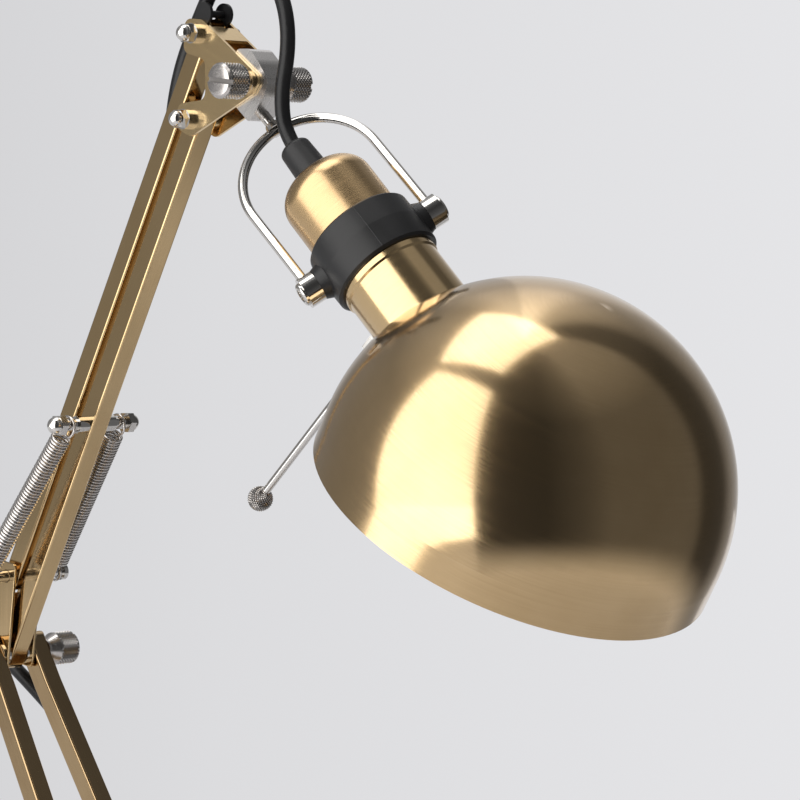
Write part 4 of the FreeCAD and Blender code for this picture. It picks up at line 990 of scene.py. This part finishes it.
@dataclass
class MainsLead:
    """The lead from the base through the switch to the coil and the plug."""

    diameter: float = CORD_D
    start_dir: tuple[float, float, float] = (0.394, 0.919, 0)
    coil_start: tuple[float, float, float] = (-141.0, 167.5, 2.4)
    coil_radius: float = 25.3
    coil_step: float = 5.6
    flat_turns: float = 2.0
    layers: int = 4
    climbing_turn: float = 0.5
    part_turn: float = 1 / 16

    def coil(self) -> list[Vector]:
        """Control points of the turns, spiralling in and out layer by layer."""
        ahead = Vector(self.start_dir).normalized()
        right = Vector((ahead.y, -ahead.x, 0))
        radius = self.coil_radius + self.coil_step * self.flat_turns / 2
        centre = mm(*self.coil_start) + right * radius * MM
        height = 0.0
        turn = 0.0
        points = []

        def spot() -> Vector:
            """Place that the turns have come to."""
            angle = 2 * math.pi * turn
            outward = right * -math.cos(angle) + ahead * math.sin(angle)
            return centre + (outward * radius + Z_AXIS * height) * MM

        for layer in range(self.layers):
            inward = -1 if layer % 2 == 0 else 1
            stretches = [(self.flat_turns, inward * self.coil_step, 0.0)]
            if layer < self.layers - 1:
                stretches.append((self.climbing_turn, 0.0, self.coil_step / self.climbing_turn))
            for turns, spread, climb in stretches:
                for _ in range(round(turns / self.part_turn)):
                    points.append(spot())
                    turn += self.part_turn
                    radius += spread * self.part_turn
                    height += climb * self.part_turn
        return [*points, spot()]

    def build(self, material: bpy.types.Material) -> None:
        """Makes the lead inside the base and the one outside it.

        Args:
            material: the sheath's material.
        """
        inside = [mm(0, 0, 28), mm(0, 0, 7), mm(-30, 0.8, 7), mm(-62, 0, 7), mm(-104, 0, 7)]
        hidden = nurbs("lead_in_base", inside, self.diameter * MM / 2)
        hand_in(hidden, material, "cord_sheath", "mains_lead")
        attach(hidden, "base")
        length_of(centre_line(inside))
        turns = self.coil()
        start_dir = Vector(self.start_dir).normalized()
        start = mm(*self.coil_start) - start_dir * self.diameter * MM
        last_dir = (turns[-1] - turns[-2]).normalized()
        last_dir.z = 0.0
        last_dir.normalize()
        end = turns[-1] + last_dir * self.diameter * MM
        left = Vector((-last_dir.y, last_dir.x, 0))
        plug_dir = (last_dir * 0.97 + left * 0.24).normalized()
        first_spot = end + last_dir * 13 * MM
        second_spot = first_spot + (last_dir * 18 + left * 1.5 - Z_AXIS * 5.0) * MM
        third_spot = second_spot + (last_dir * 16 + left * 3.5) * MM
        third_spot.z = 8 * MM
        route = [
            mm(-104, 0, 7), mm(-116, 0, 7), mm(-134, 2.0, 2.6), mm(-149, 13.0, 2.5), mm(-155, 33.0, 2.7),
            mm(-156, 53.0, 7.5), mm(-156, 121.0, 7.5), mm(-153.5, 142.0, 3.4), start - start_dir * 12 * MM, start,
            *turns, end, first_spot, second_spot, third_spot, third_spot + plug_dir * 15 * MM,
        ]
        lead = nurbs("lead", route, self.diameter * MM / 2, 6)
        lead.data.bevel_resolution = 4
        hand_in(lead, material, "cord_sheath", "mains_lead", "lead_coil", "plug_tail")
        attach(lead, "base")
        length = length_of(centre_line(route, 6))
        LOG.info("mains lead: %.0f mm outside the base", length / MM)


# Springs
@dataclass
class Spring:
    """One closely wound spring with an open loop at each end."""

    side: int
    node: str
    foot_aside: float = 14.5
    head_aside: float = 10.5
    radius: float = 3.0
    wire: float = 0.98
    turns: int = 47
    points_per_turn: int = 12
    loop: float = 3.4
    loop_start: float = -165.0
    loop_end: float = 95.0
    loop_points: int = 14
    hang: float = 0.9
    start: float = 4.8

    def build(self, material: bpy.types.Material) -> None:
        """Winds the spring over both cross rods.

        Args:
            material: the wire's material.
        """
        foot = LOWER_ROD + Y_AXIS * self.side * self.foot_aside * MM
        head = UPPER_ROD + Y_AXIS * self.side * self.head_aside * MM
        axis = (head - foot).normalized()
        span = (head - foot).length / MM
        pitch = (span - 2 * self.start) / self.turns
        low = [Vector((self.loop * math.sin(a), 0, -self.loop * math.cos(a))) for a in self.loop_angles()]
        low.append(Vector((self.loop * 0.98, 0, self.start * 0.5)))
        rise = Vector((0, 0, self.hang))
        route = [point + rise for point in low]
        for i in range(self.turns * self.points_per_turn + 1):
            turn = 2 * math.pi * i / self.points_per_turn
            rising = self.start + pitch * i / self.points_per_turn
            route.append(Vector((self.radius * math.cos(turn), self.radius * math.sin(turn), rising)))
        route += [Vector((point.x, 0, span - point.z)) - rise for point in reversed(low)]
        level = axis.cross(Y_AXIS).normalized()
        place = axes(foot, level, axis)
        line = nurbs(self.node + "_wire", [place @ (point * MM) for point in route], self.wire * MM / 2, 2)
        line.data.bevel_resolution = 1
        spring = stand(self.node + "_wound", as_mesh(line))
        for polygon in spring.data.polygons:
            polygon.use_smooth = True
        hand_in(spring, material, "steel", self.node)
        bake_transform(spring)
        LOG.info("%s: %d faces", spring.name, len(spring.data.polygons))

    def loop_angles(self) -> list[float]:
        """Evenly spaced angles round an end loop, in radians."""
        span = self.loop_end - self.loop_start
        return [math.radians(self.loop_start + span * i / (self.loop_points - 1)) for i in range(self.loop_points)]


# Knurled pieces
@dataclass
class KnurledKnob:
    """Slotted thumb knob with a diamond knurl, modelled once and copied."""

    foot: float = 0.3
    neck_radius: float = 3.5
    neck: float = 3.7
    radius: float = 5.3
    head: float = 8.4
    rim: float = 1.0
    slot: float = 1.5
    slot_depth: float = 1.6
    teeth: int = 30
    rows: int = 13
    knurl: float = 0.15

    def model(self) -> bpy.types.Object:
        """Shapes the knob standing on the XY plane.

        Returns:
            The model, which the knobs copy.
        """
        knob = added(
            bpy.ops.mesh.primitive_cylinder_add, "knob_model", vertices=self.teeth * 2, radius=self.neck_radius,
            depth=self.foot, location=(0, 0, self.foot / 2),
        )
        settle(knob)
        tip = self.neck + self.head
        low = self.neck
        high = tip - self.rim
        draw_up(knob, self.neck_radius, self.foot, [
            (self.neck_radius, 0.9), (self.neck_radius + 0.3, 1.3), (self.radius - 0.4, low - 0.5),
            (self.radius, low),
            *[(self.radius, low + (high - low) * (i + 1) / self.rows) for i in range(self.rows)],
            (self.radius - 0.7, tip - 0.36), (self.radius - 1.0, tip - 0.26), (2.9, tip - 0.08), (1.4, tip),
        ])
        self.cut_knurl(knob, low, high)
        self.cut_slot(knob, tip)
        return knob

    def cut_knurl(self, knob: bpy.types.Object, low: float, high: float) -> None:
        """Presses crossed grooves into the barrel.

        Args:
            knob: the model.
            low: height where the knurl begins.
            high: height where it ends.
        """
        shape = bmesh.new()
        shape.from_mesh(knob.data)
        row_height = (high - low) / self.rows
        for vertex in shape.verts:
            if low + row_height * 0.5 < vertex.co.z < high - row_height * 0.5:
                column = round(math.atan2(vertex.co.y, vertex.co.x) / (math.pi / self.teeth))
                row = round((vertex.co.z - low) / row_height)
                depth = self.knurl if (column + row) % 2 else -self.knurl
                share = 1 + depth / self.radius
                vertex.co.x *= share
                vertex.co.y *= share
                vertex.tag = depth < 0
        raise_pyramids(shape)
        shape.to_mesh(knob.data)
        shape.free()

    def cut_slot(self, knob: bpy.types.Object, tip: float) -> None:
        """Saws the slot across the face.

        Args:
            knob: the model.
            tip: height of the face.
        """
        saw = added(bpy.ops.mesh.primitive_cube_add, "saw", size=1.0)
        size = Matrix.Diagonal((self.radius * 3, self.slot, self.slot_depth * 2, 1.0))
        settle(saw, Matrix.Translation((0, 0, tip)) @ size)
        carve(knob, saw)

    def skin_of(self, face: bpy.types.MeshPolygon) -> int:
        """Number of a face's material: 0 for plain nickel, 1 for the saw-cut slot, whose floor has painted shade,
        and 2 for the knurl, with painted shade in its grooves.
        """
        tip = self.neck + self.head
        height = face.center.z
        rise = height - (tip - self.slot_depth)
        reach = face.center.xy.length
        in_slot = abs(face.center.y) < 0.51 * self.slot and -0.01 < rise < 1.3 and reach < self.radius - 0.2
        if in_slot and (abs(face.normal.y) > 0.9 or rise < 0.01):
            return 1
        return 2 if reach > self.radius - 0.35 and self.neck < height < tip - self.rim else 0

    def copies(self, places: dict[str, tuple[str, Matrix]], finish: MetalFinish) -> None:
        """Copies the model to every knob of the lamp.

        Args:
            places: body and placement for each CAD node.
            finish: the knobs' finish.
        """
        model = smooth(self.model(), 20)
        skins = [self.skin_of(face) for face in model.data.polygons]
        # The slot's floor takes a dark material: painted shade in the slot.
        slot_shade = SHADED_SLOT_NICKEL.build("sawn_slot", CLEVIS, X_AXIS)
        for node, (body, place) in places.items():
            piece = stand(node + "_knurled", model.data.copy())
            bring(piece, place)
            hand_in(piece, finish.build(node + "_nickel", place.translation, Y_AXIS), "nickel", node)
            piece.data.materials.append(slot_shade)
            piece.data.materials.append(BARREL_NICKEL.build(node + "_barrel", place.translation, Y_AXIS))
            piece.data.polygons.foreach_set("material_index", skins)
            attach(piece, body)
        bpy.data.objects.remove(model)
        LOG.info("knurled knobs: %d", len(places))


def carve(obj: bpy.types.Object, tool: bpy.types.Object) -> bpy.types.Object:
    """Cuts a tool out of a piece and removes the tool."""
    cut = take(obj).modifiers.new("cut", "BOOLEAN")
    cut.operation = "DIFFERENCE"
    cut.solver = "EXACT"
    cut.object = tool
    bpy.ops.object.modifier_apply(modifier=cut.name)
    bpy.data.objects.remove(tool)
    return obj


def soften(obj: bpy.types.Object, width: float) -> None:
    """Rounds a piece's sharp edges by a width in its own unit."""
    bevel = take(obj).modifiers.new("soften", "BEVEL")
    bevel.width = width
    bevel.segments = 2
    bevel.use_clamp_overlap = True
    bevel.limit_method = "ANGLE"
    bevel.angle_limit = math.radians(34)
    bpy.ops.object.modifier_apply(modifier=bevel.name)
    smooth(obj, 50)
    level = obj.modifiers.new("level", "WEIGHTED_NORMAL")
    level.keep_sharp = True
    bpy.ops.object.modifier_apply(modifier=level.name)


def raise_pyramids(shape: bmesh.types.BMesh) -> None:
    """Splits each square between its two sunken corners, which are tagged, so that a knurl stands in pyramids."""
    for face in list(shape.faces):
        corners = list(face.verts)
        if len(corners) == 4:
            for first in (0, 1):
                if corners[first].tag and corners[first + 2].tag:
                    bmesh.utils.face_split(face, corners[first], corners[first + 2])
                    break


def draw_up(obj: bpy.types.Object, radius: float, height: float, steps: list[tuple[float, float]]) -> None:
    """Draws the top face of a round piece up through rings of given radius and height.

    Args:
        obj: the piece, standing on the XY plane.
        radius: its radius at the top.
        height: its height.
        steps: radius and height of each ring.
    """
    take(obj)
    bpy.ops.object.mode_set(mode="EDIT")
    bpy.ops.mesh.select_all(action="DESELECT")
    bpy.ops.mesh.select_mode(type="FACE")
    shape = bmesh.from_edit_mesh(obj.data)
    for face in shape.faces:
        face.select_set(face.normal.z > 0.9 and face.calc_center_median().z > height - 1e-4)
    bmesh.update_edit_mesh(obj.data)
    for ring_radius, ring_height in steps:
        bpy.ops.mesh.extrude_region_move(TRANSFORM_OT_translate={"value": (0, 0, ring_height - height)})
        share = ring_radius / radius
        if abs(share - 1) > 1e-6:
            bpy.ops.transform.resize(value=(share, share, 1.0), center_override=(0, 0, ring_height))
        radius = ring_radius
        height = ring_height
    bpy.ops.object.mode_set(mode="OBJECT")


@dataclass
class KnurledBall:
    """Knurled ball on the aiming rod."""

    radius: float = 3.9
    teeth: int = 20
    rows: int = 14
    plain_rows: float = 3.5
    knurl: float = 0.21
    collar_radius: float = 15.0
    rod_aside: float = 7.0
    rod_height: float = 24.0
    rod_length: float = 66.0

    def build(self, finish: MetalFinish) -> None:
        """Makes the ball at the rod's end.

        Args:
            finish: its metal finish.
        """
        ball = added(
            bpy.ops.mesh.primitive_uv_sphere_add, "rod_ball_knurled", segments=self.teeth * 2,
            ring_count=self.rows * 2, radius=self.radius,
        )
        settle(ball)
        shape = bmesh.new()
        shape.from_mesh(ball.data)
        for vertex in shape.verts:
            level = math.acos(max(-1.0, min(1.0, vertex.co.z / self.radius))) / (math.pi / (self.rows * 2))
            column = round(math.atan2(vertex.co.y, vertex.co.x) / (math.pi / self.teeth))
            if self.plain_rows < level < self.rows * 2 - self.plain_rows and (column + round(level)) % 2:
                vertex.co *= 1 - self.knurl / self.radius
                vertex.tag = True
        raise_pyramids(shape)
        shape.to_mesh(ball.data)
        shape.free()
        foot = math.sqrt(self.collar_radius ** 2 - self.rod_aside ** 2)
        reach = foot + self.rod_length + self.radius * 0.6
        side = NECK_DIR.cross(SHADE_DIR)
        centre = HUB + (SHADE_DIR * reach - side * self.rod_aside + NECK_DIR * self.rod_height) * MM
        bring(ball, axes(centre, NECK_DIR, SHADE_DIR))
        smooth(ball, 12)
        hand_in(ball, finish.build("ball_nickel", centre, SHADE_DIR), "nickel", "rod_ball")
        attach(ball, "head")
        LOG.info("%s: %d faces", ball.name, len(ball.data.polygons))


# Folded pieces
@dataclass
class FoldedPiece:
    """Sheet-metal piece with two cheeks across the Y axis and a web between them.

    Outlines are in millimetres on the piece's own X and Z axes.
    """

    name: str
    node: str
    body: str
    place: Matrix
    outline: Outline
    corner: float
    half_width: float
    sheet: float = 1.0

    def prism(self, outline: Outline, low: float, high: float, corner: float) -> bpy.types.Object:
        """Solid between two Y values over an outline.

        Args:
            outline: its X and Z values.
            low: its lower Y value.
            high: its higher Y value.
            corner: how far its corners are cut round.

        Returns:
            The solid.
        """
        shape = bmesh.new()
        face = shape.faces.new([shape.verts.new((x, low, z)) for x, z in outline])
        grown = bmesh.ops.extrude_face_region(shape, geom=[face])
        moved = [part for part in grown["geom"] if isinstance(part, bmesh.types.BMVert)]
        bmesh.ops.translate(shape, verts=moved, vec=(0, high - low, 0))
        if corner > 0:
            upright = [e for e in shape.edges if abs(e.verts[0].co.y - e.verts[1].co.y) > 1e-3]
            bmesh.ops.bevel(shape, geom=upright, offset=corner, segments=5, profile=0.5, affect="EDGES")
        bmesh.ops.recalc_face_normals(shape, faces=shape.faces)
        return shaped(self.name, shape)

    def drill(self, radius: float, middle: tuple[float, float, float], along: Vector) -> bpy.types.Object:
        """Round tool for a hole.

        Args:
            radius: its radius.
            middle: a point on its axis.
            along: the direction of its axis.

        Returns:
            The tool.
        """
        tool = added(bpy.ops.mesh.primitive_cylinder_add, "drill", vertices=40, radius=radius, depth=12)
        tool.matrix_world = Matrix.Translation(middle) @ along.to_track_quat("Z", "Y").to_matrix().to_4x4()
        bpy.context.view_layer.update()
        return tool

    def cheeks(self, room: Outline) -> bpy.types.Object:
        """The piece as one block over its outline, hollowed between the cheeks.

        Args:
            room: outline of the hollow, which leaves the web.

        Returns:
            The piece.
        """
        block = self.prism(self.outline, -self.half_width, self.half_width, self.corner)
        inside = self.half_width - self.sheet
        return carve(block, self.prism(room, -inside, inside, 0.0))

    def done(self, piece: bpy.types.Object, edge: float, material: bpy.types.Material, slot: str) -> None:
        """Softens the edges, moves the piece to its place and gives it its finish.

        Args:
            piece: the piece, in millimetres.
            edge: width of the rounded edges.
            material: its material.
            slot: the CAD material that it stands for; not used.
        """
        soften(piece, edge)
        bring(piece, self.place)
        hand_in(piece, material, slot, self.node)
        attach(piece, self.body)
        LOG.info("%s: %d faces", self.name, len(piece.data.polygons))


def make_clevis(material: bpy.types.Material) -> None:
    """Clevis folded round its outer side, with the holes for its bolt and for the bail's stem."""
    outline = (
        (-10.8, 4.0), (-6.8, 7.3), (-1.1, 7.0), (5.8, 5.4), (7.4, 1.5), (7.9, -9.1), (-1.4, -9.3), (-7.6, -5.2),
    )
    room = (
        (-16.0, 6.2), (-6.9, 6.25), (-1.2, 5.98), (5.0, 4.5), (6.5, 1.0), (6.92, -3.0), (6.92, -14.0),
        (-16.0, -14.0),
    )
    place = axes(CLEVIS, STEM_DIR, STEM_SIDE)
    clevis = FoldedPiece("clevis_folded", "clevis", "fork", place, outline, corner=1.2, half_width=4.6)
    piece = clevis.cheeks(room)
    carve(piece, clevis.drill(BOLT_HOLE, (0, 0, 0), Y_AXIS))
    carve(piece, clevis.drill(STEM_HOLE, (9.0, 0, -STEM_ASIDE), X_AXIS))
    clevis.done(piece, 0.4, material, "nickel")


def make_elbow_bracket(material: bpy.types.Material) -> None:
    """Two straps from the elbow bolt to the lower cross rod, joined by a web at the back."""
    outline = ((-4.95, -3.77), (3.77, -4.95), (8.48, 29.77), (-0.24, 30.95), (-1.2, 22.5), (-3.7, 19.5), (-5.4, 5.5))
    room = (
        (-20.0, -12.0), (20.0, -12.0), (20.0, 40.0), (-20.0, 40.0), (-20.0, 19.5), (-2.7, 19.4), (-4.4, 5.4),
        (-20.0, 5.5),
    )
    place = Matrix.Translation(ELBOW)
    strap = FoldedPiece("elbow_straps", "elbow_bracket", "elbow", place, outline, corner=1.6, half_width=5.7)
    piece = strap.cheeks(room)
    for x, z in ((0, 0), ROD_PLACE):
        for side in (-1, 1):
            carve(piece, strap.drill(BOLT_HOLE, (x, side * 8.0, z), Y_AXIS))
    strap.done(piece, 0.2, material, "brass_bright")


@dataclass
class PartingLine:
    """Fine moulded seam where the collar's halves meet, at its front and back."""

    profile: Outline = ((-7.6, 16.3), (-7.0, 16.92), (0.6, 17.17), (8.3, 16.92), (8.9, 16.3))
    half_width: float = 0.16
    proud: float = 0.1
    sunk: float = 0.4

    def build(self, material: bpy.types.Material) -> None:
        """Lays the seams on the collar.

        Args:
            material: the collar's plastic.
        """
        shoulder = self.proud * 0.5
        section = ((-1, -self.sunk), (-1, shoulder), (0, self.proud), (1, shoulder), (1, -self.sunk))
        shape = bmesh.new()
        for side in (-1, 1):
            rings = [
                [shape.verts.new((x * self.half_width, side * (radius + out), height)) for x, out in section]
                for height, radius in self.profile
            ]
            for low, high in zip(rings, rings[1:]):
                for i in range(len(low)):
                    j = (i + 1) % len(low)
                    shape.faces.new((low[i], low[j], high[j], high[i]))
            shape.faces.new(rings[0])
            shape.faces.new(rings[-1])
        bmesh.ops.recalc_face_normals(shape, faces=shape.faces)
        seams = shaped("collar_seams", shape)
        bring(seams, axes(HUB, HUB_DIR, NECK_DIR))
        hand_in(seams, material, "black_plastic")
        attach(seams, "collar")
        LOG.info("%s: %d faces", seams.name, len(seams.data.polygons))


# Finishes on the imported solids
@dataclass
class SolidsDressing:
    """Puts the object's finishes on the solids that stay as they are."""

    nodes: dict

    def dress(self, material: bpy.types.Material, *names: str) -> None:
        """Gives one material to all slots of the solids named."""
        for name in names:
            for place in self.nodes[name].material_slots:
                place.material = material

    def metal(self, *rows: tuple[MetalFinish, str, Vector, Vector, str]) -> None:
        """Dresses solids by rows of a finish, its name, a point on its axis, the axis and the solids."""
        for finish, name, origin, axis, nodes in rows:
            self.dress(finish.build(name, origin, axis), *nodes.split())

    def brass(self) -> None:
        """Brushed shade, turned neck and cap, drawn tubes and folded plates."""
        self.metal(
            (SATIN_BRASS, "shade_brass", SHADE_CENTRE, SHADE_AXIS, "shade"),
            (CAP_BRASS, "cap_brass", HUB, NECK_DIR, "lamp_cap"),
            (NECK_BRASS, "neck_brass", HUB, NECK_DIR, "neck shade_ring"),
            (BRIGHT_BRASS, "bar_brass", ELBOW, BAR_DIR, "front_bar back_bar"),
            # The legs take a darker copy of the bar brass, as painted shade.
            (SHADED_LEG_BRASS, "leg_brass", BASE_PIVOT, LEG_DIR, "leg_left leg_right"),
            (BRIGHT_BRASS, "plate_brass", ELBOW, Z_AXIS, "base_yoke"),
            # The head bracket takes a lighter copy of the bar brass, as painted light.
            (LIT_PLATE_BRASS, "bracket_brass", CLEVIS, BAR_SIDE, "head_bracket"),
            (NECK_BRASS, "cover_brass", ORIGIN, Z_AXIS, "base_cover"),
        )
        make_elbow_bracket(BRIGHT_BRASS.build("strap_brass", ELBOW, Z_AXIS))

    def nickel(self) -> None:
        """Plated clevis, bail, pins, nuts, washers and rods."""
        small = "link_pins pin_nuts pin_washers clevis_bolt upper_rod_nuts elbow_bolt elbow_washers yoke_studs"
        self.metal(
            (NICKEL, "pin_nickel", CLEVIS, Y_AXIS, small),
            (DRAWN_NICKEL, "rod_nickel", CLEVIS, Y_AXIS, "upper_cross_rod lower_cross_rod"),
            (NICKEL, "stud_nickel", ORIGIN, Z_AXIS, "swivel_stud swivel_nuts"),
            (DRAWN_NICKEL, "bail_nickel", HUB, STEM_DIR, "bail stem_nut"),
            (NICKEL, "screw_nickel", HUB, HUB_DIR, "pivot_screws"),
            (DRAWN_NICKEL, "aim_nickel", HUB, SHADE_DIR, "aiming_rod"),
            (PLATED_BRASS, "plug_metal", ORIGIN, Z_AXIS, "plug_pins"),
            (NICKEL, "bulb_metal", HUB, NECK_DIR, "bulb_base"),
        )
        make_clevis(SATIN_NICKEL.build("clevis_nickel", CLEVIS, STEM_SIDE))

    def dark(self) -> None:
        """Moulded black pieces, the iron weight and the pad."""
        plastic = BLACK_PLASTIC.build("black_plastic_skin")
        self.dress(
            plastic, "collar_left", "collar_right", "strain_sleeve", "lampholder", "cord_clip", "switch_body",
            "switch_rocker", "plug_body", "lead_relief",
        )
        PartingLine().build(plastic)
        self.dress(CAST_IRON.build("iron_skin"), "base_weight")
        self.dress(FELT_PAD.build("pad_skin"), "base_pad")
        self.dress(OpalFinish().build("opal_skin"), "bulb_glass")

    def build(self) -> None:
        """Dresses every solid that shows."""
        self.brass()
        self.nickel()
        self.dark()


def knob_places() -> dict[str, tuple[str, Matrix]]:
    """Body and placement of each thumb knob."""
    level = Vector((0.992, 0, -0.127))
    steep = Vector((0.42, 0, 0.91))
    knobs = {
        "head_knob": (CLEVIS, HEAD_PLATE_Y, level),
        "elbow_knob": (ELBOW, LEG_TOP_Y + TUBE / 2, steep),
        "base_knob": (BASE_PIVOT, LEG_FOOT_Y + TUBE / 2, steep),
    }
    places = {}
    for name, (pivot, face, slot) in knobs.items():
        for side, word in ((-1, "left"), (1, "right")):
            out = Y_AXIS * side
            place = axes(pivot + out * face * MM, slot, out)
            places[f"{name}_{word}"] = (f"{name}_{word[0]}", place)
    return places


def main() -> None:
    """Builds the studio, the cords and every dressed piece."""
    logging.basicConfig(level=logging.INFO, format="%(name)s: %(message)s")
    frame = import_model()
    Studio().build()
    LOG.info("studio ready")
    sheath = SHEATH.build("cord_skin")
    FrameCord().build(sheath)
    MainsLead().build(sheath)
    spring_axis = (UPPER_ROD - LOWER_ROD).normalized()
    steel = SPRING_STEEL.build("spring_skin", LOWER_ROD, spring_axis)
    for side, node in ((-1, "spring_left"), (1, "spring_right")):
        Spring(side, node).build(steel)
    KnurledKnob().copies(knob_places(), KNOB_NICKEL)
    KnurledBall().build(BALL_NICKEL)
    SolidsDressing(frame["nodes"]).build()
    LOG.info("solids dressed")


if __name__ == "__main__":
    main()
